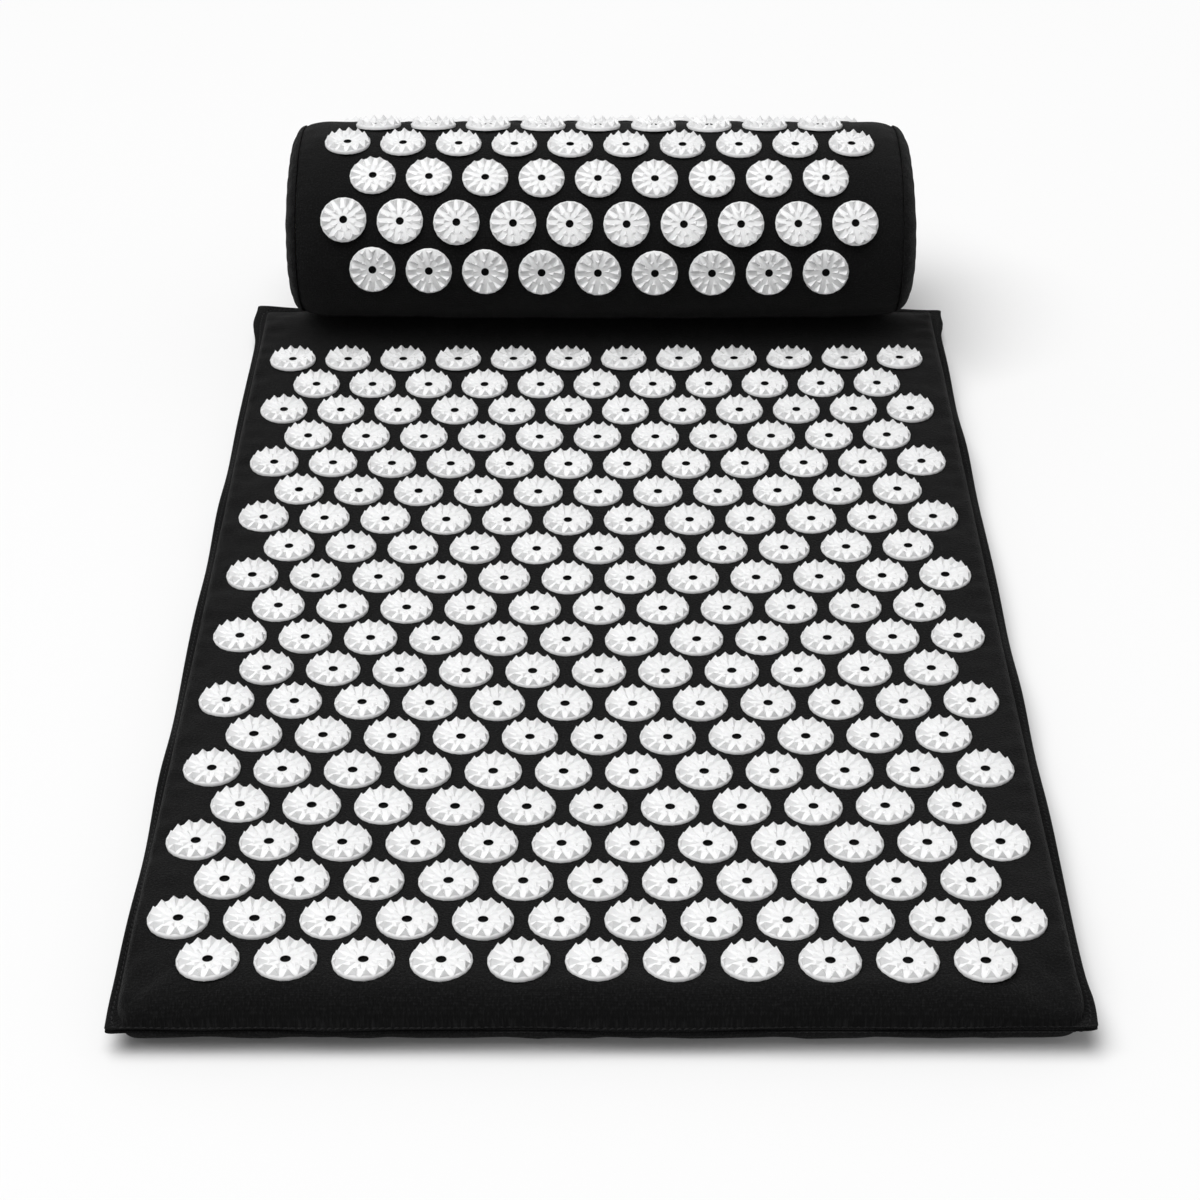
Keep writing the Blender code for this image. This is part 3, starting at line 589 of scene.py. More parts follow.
def foam_material(name, color):
    """Open-cell foam: small pits of two sizes with painted shade in them, yellowed unevenly."""
    material, tree, shader = new_material(name, {"Specular IOR Level": 0.2}, color)
    vector = object_vector(tree)
    grain = use_group(tree, grain_group(), vector, {"Grain size": 0.0012, "Patch size": 0.05})
    cells = add_node(tree, "ShaderNodeTexVoronoi", None, {"Scale": 700.0})
    tree.links.new(vector, cells.inputs["Vector"])
    deep, base, pale = shades(color, 0.72, 1.0, 1.1)
    # painted shade: the colour is darkened in the cells' pits
    pit_shade = ramp(tree, cells.outputs["Distance"], ((0.1, deep), (0.45, base)))
    tree.links.new(blend_colors(tree, grain["Patch"], pit_shade, pale), shader.inputs["Base Color"])
    tree.links.new(span(tree, grain["Grain"], 0.88, 0.98), shader.inputs["Roughness"])
    bump(tree, shader, cells.outputs["Distance"], 0.8, 0.0008)
    return material


def finish(name, make, *values, **named):
    """The material of that name, made on first use."""
    return bpy.data.materials.get(name) or make(name, *values, **named)


def canvas_finish(look):
    return finish("black_canvas_weave", woven_material, tuple(look.canvas), pitch=look.weave_pitch,
                  vector_of=cloth_vector, depth=0.00055, sheen=0.036)


def thread_finish(look):
    return finish("black_sewing_thread", thread_material, tuple(look.thread))


def plastic_finish(look):
    return finish("white_disc_plastic", plastic_material, tuple(look.plastic))


def foam_finish(look):
    return finish("pale_cushion_foam", foam_material, tuple(look.foam))


# Mat surfaces, from x and y measured from the middle of the disc field

def seam_height(y):
    """Height of the seam round the pad, falling evenly from the near edge to the far one."""
    share = (y - NEAR_EDGE) / (FAR_EDGE - NEAR_EDGE)
    return NEAR_SEAM_HEIGHT + (FAR_SEAM_HEIGHT - NEAR_SEAM_HEIGHT) * share


def mat_top_height(x, y):
    """The dished top: a square law along the mat and a slighter one across, level under the pillow.

    Real padding is uneven: the ends of the field stand higher, most in their middle and at two corners.
    """
    level = np.minimum(y, LEVEL_START)
    ends = DISH_RISE * (level / HALF_FIELD) ** 2 - LEAN_SHARE * level
    fade = np.minimum(1.0, (LEVEL_START - level) / (LEVEL_START - HALF_FIELD))
    across, along = x / HALF_FIELD_WIDTH, level / HALF_FIELD
    sides = UNEVEN_SIDES - UNEVEN_CORNERS * along ** 2
    uneven = (UNEVEN_MIDDLE + UNEVEN_ENDS * along ** 2 + sides * across ** 2
              + UNEVEN_TWIST * across * along)
    return MAT_THICKNESS + ends + fade * (DISH_SIDE_RISE * across ** 2 + ease(0.0, 1.0, fade) * uneven)


MAT_THICKNESS_FAR = float(mat_top_height(0.0, PAD_FAR))


def field_drift(x, y):
    """How far the canvas and its discs have crept sideways: a shift and a spread, square laws of y."""
    across, along = x / HALF_FIELD_WIDTH, y / HALF_FIELD
    return square_law(CREEP, along) + across * square_law(CREEP_SPREAD, along)


def mat_bottom_height(y):
    """The underside: flat on the floor, curling up by a square law at the near end."""
    return NEAR_LIFT * np.maximum(0.0, (PAD_NEAR + LIFT_RUN - y) / LIFT_RUN) ** 2


def round_the_corner(x, y, half_width, near, far, near_corner, far_corner):
    """Bends the corners of square rings into arcs; also gives each point's depth inside the rectangle.

    Inside, the arcs share a centre. Outside, their radius shrinks to the ear's at the flange's edge.
    """
    side = half_width - np.abs(x)
    end = np.minimum(y - near, far - y)
    depth = np.minimum(side, end)
    nearer = y - near < far - y
    corner = np.where(nearer, near_corner, far_corner)
    ear = np.where(nearer, NEAR_EAR, FAR_EAR)
    outside = corner + (corner - ear) * depth / FLANGE
    radius = np.where(depth > 0.0, np.maximum(corner - depth, 0.0), outside)
    run = np.maximum(side, end) - depth
    bend = np.clip(1.0 - run / np.maximum(radius, TINY), 0.0, 1.0) * math.pi / 4
    off, along = radius * (1.0 - np.cos(bend)), radius * (1.0 - np.sin(bend))
    on_side = side <= end
    new_side = depth + np.where(on_side, off, along)
    new_end = depth + np.where(on_side, along, off)
    side = np.where(bend > 0.0, new_side, side)
    end = np.where(bend > 0.0, new_end, end)
    return np.copysign(half_width - side, x), np.where(nearer, near + end, far - end), depth


def roll_share(depth, roll):
    """Quarter ellipse: 0 at the seam, 1 once the roll is over."""
    rest = np.clip(1.0 - depth / roll, 0.0, 1.0)
    return np.sqrt(1.0 - rest ** 2)


def fill_share(x, y, depth, roll):
    """How full the pad is: a quarter-ellipse roll along the ends times a tighter one along the sides.

    The pad is slack at the near corners, and falls gently in the far ears.
    """
    depth = np.maximum(depth, 0.0)
    end = np.maximum(np.minimum(y - PAD_NEAR, PAD_FAR - y), 0.0)
    side = np.maximum(PAD_HALF_WIDTH - np.abs(x), 0.0)
    share = np.minimum(roll_share(end, roll) * roll_share(side, SIDE_ROLL), roll_share(depth, SIDE_ROLL))
    share = share * (1.0 - NEAR_SLACK * bell(np.hypot(side, y - PAD_NEAR), 0.0, NEAR_SLACK_RUN))
    gentle = np.sin(math.pi / 2 * np.clip((PAD_FAR - y) / EAR_FALL, 0.0, 1.0))
    ear = ease(EAR_START, EAR_END, np.abs(x))
    return share + (np.minimum(share, gentle) - share) * ear


def settle_edges(x, y):
    """Moves the cover's edges from straight lines to where they lie.

    Flares and swells carry the far ears out, and the left side narrows towards the near end. On the left
    and near sides the seam lies closer to the edge, which leaves a narrower flange and a fuller roll.
    """
    side = PAD_HALF_WIDTH - np.abs(x)
    rim = np.clip(-side / FLANGE, 0.0, 1.0)
    margin = ease(0.010, 0.0, side)
    run = FAR_EDGE - y
    flare = np.maximum(0.0, 1.0 - run / FLARE_RUN) ** 2
    narrow = LEFT_INSET + LEFT_TAPER * np.clip(TAPER_START - y, 0.0, TAPER_RUN)
    puff = swell(y - NEAR_EDGE, NEAR_SWELL_FORM)
    left_ear = LEFT_FLARE * flare + swell(run, LEFT_EAR_SWELL) + 0.0006 * np.exp(-run / 0.09)
    right_ear = RIGHT_FLARE * flare + swell(run, RIGHT_EAR_SWELL)
    seam = seam_shift(side)
    left = (narrow + LEFT_NEAR_SWELL * puff) * margin - LEFT_SEAM_SHIFT * seam - left_ear * rim
    right = (RIGHT_INSET + RIGHT_NEAR_SWELL * puff) * margin + RIGHT_SEAM_SHIFT * seam + right_ear * rim
    return x + np.where(x < 0.0, left, right), y - NEAR_SEAM_SHIFT * seam_shift(y - PAD_NEAR)


def seam_shift(inside):
    """1 on the seam, falling to 0 at the flange's edge and over the roll."""
    return np.where(inside < 0.0, np.maximum(1.0 + inside / FLANGE, 0.0), ease(0.016, 0.0, inside))


def stitch_row(x, y):
    """How far outside the seam the stitches run: close to it on the left and near sides, else further."""
    on_right, off_end = ease(-0.05, 0.05, x), ease(NEAR_EDGE + 0.005, NEAR_EDGE + 0.04, y)
    return STITCH_ROW + STITCH_ROW_DRIFT * on_right * off_end


def corner_creases(x, y):
    """Short folds that run from each near corner towards the field of discs."""
    across, along = PAD_HALF_WIDTH - np.abs(x), y - PAD_NEAR
    reach = np.hypot(across, along)
    heading = np.arctan2(along, across)
    folds = np.sin(9.0 * heading + 1.3 * np.sign(x)) + 0.6 * np.sin(17.0 * heading)
    return folds * swell(reach, CREASE_FORM)


def hem_rise(x, y, depth, look):
    """The sewn edge waves up and down, most at its outer line; both layers of cloth follow it."""
    share = ease(0.0, FLANGE, -depth)
    return look.hem_wave * share * ripples(x, y, seed=11, waves=7, shortest=0.035, longest=0.16)


def near_disc(x, y, rows, long_row):
    """Distance to the middle of the nearest disc; y counts from the middle of the first row."""
    best = np.full(np.broadcast(x, y).shape, 1.0)
    lowest = np.floor(y / ROW_PITCH)
    for row in (lowest, lowest + 1):
        row = np.clip(row, 0, rows - 1)
        half = (long_row - 2 + row % 2) / 2
        column = np.clip(np.round(x / COLUMN_PITCH + half), 0, 2 * half)
        best = np.minimum(best, np.hypot(x - (column - half) * COLUMN_PITCH, y - row * ROW_PITCH))
    return best


def press_of(distance, look):
    """How far the canvas is pressed in: fully under a disc, less and less over a short run round it."""
    return look.press * (1.0 - ease(DISC_RADIUS, DISC_RADIUS + PRESS_RUN, distance))


def slot_edge(x, z, y, height, depth, roll, side):
    """Turns a mat panel's far edge in along the zip opening.

    There the roll starts where it is half a slot from the seam, and the flange's cloth is folded in from
    that line towards the tape. Beyond the ends of the opening the edge eases back into the flange.
    """
    half = MAT_CHAIN / 2 + TAPE_TAIL - TAPE_LAP
    opened = (1.0 - ease(half - 0.001, half + 0.007, np.abs(x))) * (y > 0.0)
    at_far = (PAD_FAR - y) <= np.maximum(depth, 0.0) + TINY
    opened = np.where(at_far, opened, 0.0)
    start = roll * (1.0 - math.sqrt(1.0 - (ZIP_SLOT / 2 / height) ** 2))
    moved = start + np.clip(depth, 0.0, roll) * (roll - start) / roll
    seam = seam_height(PAD_FAR)
    inside_roll = depth < roll
    new_y = np.where(inside_roll, PAD_FAR - moved, y)
    new_z = np.where(inside_roll, seam + side * height * roll_share(moved, roll), z)
    folded = np.clip(-depth / FLANGE, 0.0, 1.0)
    new_y = new_y - folded * 0.0016
    new_z = new_z - side * 0.0004 * np.sin(folded * math.pi)
    return y + (new_y - y) * opened, z + (new_z - z) * opened


def flange_relief(x, y, depth):
    """Across the flange: a groove along the seam, a full strip, a dip at the stitches, a fuller edge."""
    out = np.clip(-depth, 0.0, FLANGE)
    dip = STITCH_DIP * bell(out, stitch_row(x, y), STITCH_DIP_WIDTH)
    full = FLANGE_FULLNESS * np.sin(np.clip(out / FLANGE, 0.0, 1.0) * math.pi)
    return swell(depth, SEAM_GROOVE) + np.where(out > 0.0, full - dip, 0.0)


def mat_top_point(x, y, look):
    """The cover's top: the dished pad top rolls down to the seam and goes on as the flat sewn edge.

    Added to it: discs press the canvas in, the seam puckers the roll, the near corners crease, and the
    sewn edge waves.
    """
    bx, by, depth = round_the_corner(x, y, PAD_HALF_WIDTH, PAD_NEAR, PAD_FAR, NEAR_CORNER, FAR_CORNER)
    seam = seam_height(by) + GAP / 2 + CLOTH
    inside = np.maximum(depth, 0.0)
    z = seam + (mat_top_height(bx, by) - seam) * fill_share(bx, by, depth, TOP_ROLL)
    by, z = slot_edge(bx, z, by, MAT_THICKNESS_FAR - FAR_SEAM_HEIGHT, depth, TOP_ROLL, 1.0)
    z = z - press_of(near_disc(x - field_drift(x, y), y + HALF_FIELD, MAT_ROWS, MAT_LONG_ROW), look)
    edge_band = ease(0.0, 0.003, inside) * (1.0 - ease(0.006, 0.030, inside))
    z = z + look.pucker * edge_band * ripples(bx, by, seed=5, waves=9, shortest=0.012, longest=0.040)
    relief = ripples(bx, by, seed=7, waves=12, shortest=0.010, longest=0.060)
    z = z + MAT_RIPPLE * ease(0.0, 0.01, inside) * relief
    z = z + corner_creases(bx, by) * ease(-0.004, 0.004, depth)
    z = z + flange_relief(bx, by, depth) + hem_rise(bx, by, depth, look)
    bx, by = settle_edges(bx, by)
    return np.stack([bx, by - MIDDLE_Y, z], -1)


def mat_bottom_point(x, y, look):
    """The cover's underside: flat on the floor, rolling up to the seam and on under the sewn edge."""
    bx, by, depth = round_the_corner(x, y, PAD_HALF_WIDTH, PAD_NEAR, PAD_FAR, NEAR_CORNER, FAR_CORNER)
    seam = seam_height(by) - GAP / 2 - CLOTH
    inside = np.maximum(depth, 0.0)
    z = seam - (seam - mat_bottom_height(by)) * roll_share(inside, BOTTOM_ROLL)
    by, z = slot_edge(bx, z, by, FAR_SEAM_HEIGHT, depth, BOTTOM_ROLL, -1.0)
    edge_band = ease(0.0, 0.003, inside) * (1.0 - ease(0.004, 0.008, inside))
    z = z + look.pucker * edge_band * ripples(bx, by, seed=6, waves=9, shortest=0.012, longest=0.040)
    z = z - flange_relief(bx, by, depth) + hem_rise(bx, by, depth, look)
    bx, by = settle_edges(bx, by)
    return np.stack([bx, by - MIDDLE_Y, np.maximum(z, 0.0)], -1)


def edge_lines(low, high, roll, spacing, flange):
    """Grid lines across a rolled sheet: flange, roll, corner arc, even lines, and back again."""
    out = np.linspace(-FLANGE, 0.0, 8)[:-1] if flange else np.zeros(0)
    rolled = roll * (1.0 - np.cos(np.radians(np.linspace(0.0, 90.0, 9))))
    arc = np.linspace(roll, CORNER_RADIUS, 4)[1:]
    inner = np.linspace(low + CORNER_RADIUS, high - CORNER_RADIUS,
                        int(round((high - low - 2 * CORNER_RADIUS) / spacing)) + 1)
    start = np.concatenate([out, rolled, arc])
    return np.concatenate([low + start, inner[1:-1], high - start[::-1]])


def mat_grid(roll, spacing, flange=True, inset=0.0, cut_back=0.0):
    """The x and y of a mat layer's grid; an inset and a far cut-back make it smaller for the foam."""
    half = PAD_HALF_WIDTH - inset
    columns = edge_lines(-half, half, roll, spacing, flange)
    rows = edge_lines(PAD_NEAR + inset, PAD_FAR - cut_back, roll, spacing, flange)
    return np.meshgrid(columns, rows)


# Pillow surfaces, from x and the turn round its section: 0 front, a quarter turn top, half a turn back

def barrel(x, turn, inset=0.0):
    """The cover's section: quarter ellipses, a little smaller towards the ends, rolled at them, flat below.

    The right half is stretched a little more than the left.
    """
    weight = (1.0 + np.cos(turn - CROWN_TURN)) / 2.0
    roll = np.maximum(0.0, np.abs(x) / HALF_LENGTH - END_ROLL_SHARE) / (1.0 - END_ROLL_SHARE)
    crown = PILLOW_CROWN * weight * (x / HALF_LENGTH) ** 2 + END_ROLL * roll ** 2
    depth = HALF_DEPTH - FRONT_SLACK * (np.cos(turn) > 0.0)
    height = HALF_HEIGHT + TOP_FILL * (np.sin(turn) > 0.0)
    y = -(depth - inset - crown) * np.cos(turn)
    z = np.maximum((height - inset - crown) * np.sin(turn), -(HALF_HEIGHT - PILLOW_FLAT) + inset)
    return np.stack(np.broadcast_arrays(x + RIGHT_STRETCH * np.maximum(x, 0.0) / HALF_LENGTH, y, z), -1)


def barrel_normal(turn):
    """The ellipse's own normal at a turn."""
    normal = np.stack([np.zeros_like(turn), -np.cos(turn) / HALF_DEPTH, np.sin(turn) / HALF_HEIGHT], -1)
    return unit(normal)


PILLOW_MIDDLE = np.array([0.0, PILLOW_Y - MIDDLE_Y, MAT_THICKNESS_FAR + GAP + HALF_HEIGHT - PILLOW_FLAT])
FINE_TURNS = np.linspace(-math.pi / 2, 3 * math.pi / 2, 2881)
FINE_STEPS = np.linalg.norm(np.diff(barrel(np.zeros_like(FINE_TURNS), FINE_TURNS), axis=0), axis=1)
FINE_ARC = np.concatenate([[0.0], np.cumsum(FINE_STEPS)])
FINE_ARC = FINE_ARC - np.interp(0.0, FINE_TURNS, FINE_ARC)
FIRST_ARC = np.interp(-FRONT_SEAM_DROP, FINE_TURNS, FINE_ARC)
BACK_TURN = math.pi + BACK_SEAM_DROP


def arc_of(turn):
    return np.interp(turn, FINE_TURNS, FINE_ARC)


def turn_of(arc):
    return np.interp(arc, FINE_ARC, FINE_TURNS)


def cover_slip(x, arc):
    """How far the disc panel has slipped round the bolster: up and back at both ends, most at the left.

    The two hidden rows at the back lie further on, out of sight from the front.
    """
    hidden = BACK_ROWS_SHIFT * ease(4.3 * ROW_PITCH, 4.7 * ROW_PITCH, arc)
    at_ends = (0.6 + 1.2 * turn_of(arc) / (math.pi / 2)) * (x / HALF_LENGTH) ** 2
    return 0.001 + (SLIP_AT_ENDS * at_ends - SLIP_LEAN * x) + hidden


def pillow_wrap_point(x, turn, look):
    """The disc panel: the barrel, pressed in by its discs, puckered and pulled in towards its end seams.

    Its front edge is a little fuller, and its back edge stands off the zip, with no ripples.
    """
    arc = arc_of(turn)
    bare = arc - BACK_ROWS_SHIFT * ease(4.6 * ROW_PITCH, 5.2 * ROW_PITCH, arc)
    rise = -press_of(near_disc(x, arc - cover_slip(x, bare), PILLOW_ROWS, PILLOW_LONG_ROW), look)
    rise = rise + WRAP_RIPPLE * ripples(x, arc, seed=21, waves=12, shortest=0.012, longest=0.070)
    margin = HALF_LENGTH - np.abs(x)
    rise = rise - look.seam_dip * bell(margin, 0.0, END_SEAM_WIDTH)
    puckers = np.sin(arc / 0.0017 + 2.0 * np.sin(arc / 0.011)) * np.exp(-margin / 0.006)
    rise = rise + look.pucker * 0.5 * puckers
    rise = rise + SEAM_FULLNESS * bell(arc, FIRST_ARC, 0.0011)
    back = bell(arc, arc_of(BACK_TURN), 0.012)
    rise = rise * (1.0 - back) + SEAM_FULLNESS * back
    return PILLOW_MIDDLE + barrel(x, turn) + barrel_normal(turn) * rise[..., None]


def pillow_base_point(x, turn, look):
    """The base panel: the barrel's underside, flat where it rests and rippled where it rises."""
    rising = barrel(x, turn)[..., 2] > -(HALF_HEIGHT - PILLOW_FLAT) + TINY
    margin = HALF_LENGTH - np.abs(x)
    relief = ripples(x, turn * HALF_DEPTH, seed=22, waves=10, shortest=0.015, longest=0.070)
    rise = MAT_RIPPLE * relief - look.seam_dip * bell(margin, 0.0, END_SEAM_WIDTH)
    return PILLOW_MIDDLE + barrel(x, turn) + barrel_normal(turn) * (rise * rising)[..., None]


def pillow_end_point(side, share, turn, look):
    """A puffed end: rings that shrink to the middle and bulge outwards, puckered and drawn in at the seam.

    The bulge is 1 - share^PUFF_POWER. The right end stands out further, less so on top.
    """
    ring = barrel(np.full_like(turn, HALF_LENGTH), turn)
    out = END_PUFF * (1.0 - share ** PUFF_POWER) ** 0.85
    arc = turn * (HALF_DEPTH + HALF_HEIGHT) / 2
    sewn = np.exp(-(1.0 - share) / 0.10)
    puckers = np.sin(arc / 0.0024 + 1.7 * np.sin(arc / 0.013))
    out = out + look.pucker * 0.6 * sewn * (1.0 - sewn) * 4.0 * puckers
    relief = ripples(ring[..., 1] * share, ring[..., 2] * share * 3.0, seed=31, waves=9, shortest=0.03,
                     longest=0.09)
    out = out + END_RIPPLE * (1.0 - share) * relief
    radial = share * (1.0 - 0.005 * bell(share, 1.0, 0.012))
    fuller = END_STRETCH - END_STRETCH_LESS_ON_TOP * np.maximum(np.sin(turn), 0.0)
    stretch = RIGHT_STRETCH + fuller * (1.0 - share ** 8) if side > 0 else 0.0
    x = side * (HALF_LENGTH + GAP + CLOTH * (1.0 - share ** 60) + stretch + out)
    return PILLOW_MIDDLE + np.stack([x, ring[..., 1] * radial, ring[..., 2] * radial], -1)


# Discs

def ring_shape(profile, sides):
    """A closed ring: a profile of (radius, height) points carried round the middle."""
    turns = np.arange(sides) * math.tau / sides
    profile = np.array(profile)
    points = np.stack([profile[:, :1] * np.cos(turns), profile[:, :1] * np.sin(turns),
                       np.repeat(profile[:, 1:], sides, 1)], -1)
    count = len(profile)
    faces = grid_faces(count + 1, sides, closed=True) % (count * sides)
    return points.reshape(-1, 3), faces


def spike_shape(count, inner, outer, half_width, foot, tip_radius, tip, start):
    """A ring of wedge spikes, each with a foot of three corners, one towards the middle, and one tip."""
    turns = start + np.arange(count) * math.tau / count
    local = np.array([[inner, 0.0, foot], [outer, -half_width, foot], [outer, half_width, foot],
                      [tip_radius, 0.0, tip]])
    cos, sin = np.cos(turns)[:, None], np.sin(turns)[:, None]
    points = np.stack([local[:, 0] * cos - local[:, 1] * sin, local[:, 0] * sin + local[:, 1] * cos,
                       np.broadcast_to(local[:, 2], (count, 4))], -1)
    one = np.array([[0, 2, 1], [0, 1, 3], [0, 3, 2], [1, 2, 3]])
    faces = (np.arange(count)[:, None, None] * 4 + one).reshape(-1, 3)
    return points.reshape(-1, 3), faces


def disc_shape(look):
    """One disc: a thin plate dished towards its hole, with two rings of wedge spikes sunk in it.

    The spikes' places are shares of the disc's radius.
    """
    radius, plate = look.disc_radius, look.plate_height
    sunk = -0.0003
    foot = plate - 0.0005
    profile = [(radius - 0.0002, sunk), (radius, plate * 0.6), (radius - 0.0008, plate),
               (look.hole_radius, plate - 0.0006)]
    parts = [
        ring_shape(profile, sides=20),
        spike_shape(look.outer_spikes, inner=radius * 0.47, outer=radius * 0.945, half_width=radius * 0.185,
                    foot=foot, tip_radius=radius * 0.86, tip=look.spike_height, start=0.1),
        spike_shape(look.inner_spikes, inner=radius * 0.26, outer=radius * 0.57, half_width=radius * 0.15,
                    foot=foot, tip_radius=radius * 0.48, tip=look.spike_height - 0.0020, start=0.35),
    ]
    points, quads, wedges, count = [], [], [], 0
    for each, faces in parts:
        (quads if faces.shape[1] == 4 else wedges).append(faces + count)
        points.append(each)
        count += len(each)
    return np.concatenate(points), [np.concatenate(quads), np.concatenate(wedges)]


def staggered(rows, long_row):
    """Row number and place across of every disc: rows hold one fewer and the full number in turn."""
    counts = long_row - 1 + np.arange(rows) % 2
    row = np.repeat(np.arange(rows), counts)
    across = np.concatenate([np.arange(count) - (count - 1) / 2 for count in counts])
    return row, across * COLUMN_PITCH


def make_discs(name, origins, axes, look, body, seed):
    points, face_sets = disc_shape(look)
    axes = tipped(axes, DISC_TURN * np.arange(len(origins)), seed)
    placed, faces = repeat(points, face_sets, origins, axes)
    tone = np.repeat(np.random.default_rng(seed + 1).random(len(origins)), len(points))
    return make_piece(name, placed, faces, plastic_finish(look), body, tone=tone,
                      sharp=math.radians(75))


# Stitches

def stitch_shape(length, radius, lift):
    """One stitch: a round thread that arches over the cloth and dips into it at both ends."""
    rings = sides = 6
    along = np.linspace(-1.0, 1.0, rings)
    turns = np.arange(sides) * math.tau / sides
    thick = radius * np.sqrt(1.0 - 0.75 * along ** 4)
    rise = lift * (1.0 - along ** 2) - radius * 0.9 * along ** 4
    points = np.stack([
        np.broadcast_to(along[:, None] * length / 2, (rings, sides)),
        thick[:, None] * np.cos(turns),
        rise[:, None] + thick[:, None] * np.sin(turns)], -1).reshape(-1, 3)
    ring = np.arange(sides)
    caps = np.array([ring[::-1], ring + (rings - 1) * sides])
    return points, [grid_faces(rings, sides, closed=True), caps]


def sew(name, line, up, look, body):
    """A row of stitches a pitch apart along a line, each turned a little across it."""
    centres = even_points(line, look.stitch_pitch)
    axes = frames_along(centres, up)
    along = unit(axes[:, 0] + STITCH_SLANT * axes[:, 1])
    axes = np.stack([along, np.cross(axes[:, 2], along), axes[:, 2]], 1)
    points, face_sets = stitch_shape(look.stitch_pitch * 0.82, look.thread_radius,
                                     look.thread_radius * 0.9)
    placed, faces = repeat(points, face_sets, centres, axes)
    return make_piece(name, placed, faces, thread_finish(look), body)


# Properties

def color_property(name, description, default):
    return bpy.props.FloatVectorProperty(name=name, description=description, subtype="COLOR", size=3,
                                         min=0.0, max=1.0, default=default)


def length_property(name, description, default):
    return bpy.props.FloatProperty(name=name, description=description, unit="LENGTH", min=0.0,
                                   precision=5, default=default)


class MatCoverLook(bpy.types.PropertyGroup):
    canvas: color_property("Canvas colour", "Colour of the cotton canvas", (0.0045, 0.0045, 0.0046))
    thread: color_property("Thread colour", "Colour of the sewing thread", (0.006, 0.006, 0.0063))
    foam: color_property("Foam colour", "Colour of the foam pad and core", (0.72, 0.67, 0.50))
    weave_pitch: length_property("Yarn pitch", "Distance between the canvas's yarns", 0.00065)
    stitch_pitch: length_property("Stitch pitch", "Distance from one stitch to the next", 0.0031)
    thread_radius: length_property("Thread radius", "Half the thickness of the sewing thread", 0.00030)
    press: length_property("Disc press", "How far each disc presses the canvas in", 0.0003)
    pucker: length_property("Pucker", "Height of the puckers beside a seam", 0.0005)
    hem_wave: length_property("Edge wave", "How far the sewn edge waves up and down", 0.0013)
    seam_dip: length_property("Seam dip", "How far the pillow's end seams pull in", 0.0005)


class MatDiscLook(bpy.types.PropertyGroup):
    plastic: color_property("Plastic colour", "Colour of the spiked discs", (0.885, 0.887, 0.89))
    disc_radius: length_property("Disc radius", "Radius of a disc's plate", 0.01345)
    plate_height: length_property("Plate height", "Height of a disc's plate above the canvas", 0.0021)
    spike_height: length_property("Spike height", "Height of the spikes' tips above the canvas", 0.0049)
    hole_radius: length_property("Hole radius", "Radius of the hole in a disc", 0.0023)
    outer_spikes: bpy.props.IntProperty(name="Outer spikes", description="Spikes round a disc's rim",
                                        min=3, max=24, default=13)
    inner_spikes: bpy.props.IntProperty(name="Inner spikes", description="Spikes round a disc's hole",
                                        min=3, max=18, default=9)


class MatZipLook(bpy.types.PropertyGroup):
    tape: color_property("Tape colour", "Colour of the zips' woven tapes", (0.008, 0.008, 0.009))
    nylon: color_property("Coil colour", "Colour of the zips' nylon coils", (0.012, 0.012, 0.013))
    metal: color_property("Metal colour", "Colour of the lacquered sliders, stops and pulls",
                          (0.02, 0.02, 0.021))
    coil_pitch: length_property("Coil pitch", "Distance between the turns of a coil", 0.00135)
    wire_radius: length_property("Coil wire radius", "Half the thickness of a coil's wire", 0.0003)


class MatStageLook(bpy.types.PropertyGroup):
    floor: color_property("Floor colour", "Colour of the floor", (0.885, 0.885, 0.885))
    key_power: bpy.props.FloatProperty(name="Key power", description="Power of the overhead softbox",
                                       unit="POWER", min=0.0, default=116.0)
    sky: bpy.props.FloatProperty(name="Room light", description="Strength of the even light from all round",
                                 min=0.0, max=1.0, default=0.215)


# Operators

class MAT_OT_cover(bpy.types.Operator):
    """Build the mat's canvas cover: top and bottom panels that meet in a flat sewn edge"""
    bl_idname = "mat.cover"
    bl_label = "Mat Cover"

    def execute(self, context):
        look = context.scene.mat_cover_look
        canvas = canvas_finish(look)
        x, y = mat_grid(TOP_ROLL, TOP_SPACING)
        top = make_sheet("mat_cover_top", mat_top_point(x, y, look), np.stack([x, y], -1), canvas, "mat")
        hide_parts("mat_top_panel")
        x, y = mat_grid(BOTTOM_ROLL, BOTTOM_SPACING)
        bottom = make_sheet("mat_cover_bottom", mat_bottom_point(x, y, look), np.stack([x, y], -1), canvas,
                            "mat", flip=True)
        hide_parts("mat_bottom_panel")
        return {"FINISHED"}


class MAT_OT_discs(bpy.types.Operator):
    """Build the spiked discs of the mat"""
    bl_idname = "mat.discs"
    bl_label = "Mat Discs"

    def execute(self, context):
        cover, look = context.scene.mat_cover_look, context.scene.mat_disc_look
        row, x = staggered(MAT_ROWS, MAT_LONG_ROW)
        y = row * ROW_PITCH - HALF_FIELD

        def place(x, y):
            return np.stack([x, y - MIDDLE_Y, mat_top_height(x, y) - cover.press], -1)

        origins, axes = surface_frames(place, x + field_drift(x, y), y, 0.01)
        make_discs("mat_spiked_discs", origins, axes, look, "mat", 41)
        return {"FINISHED"}


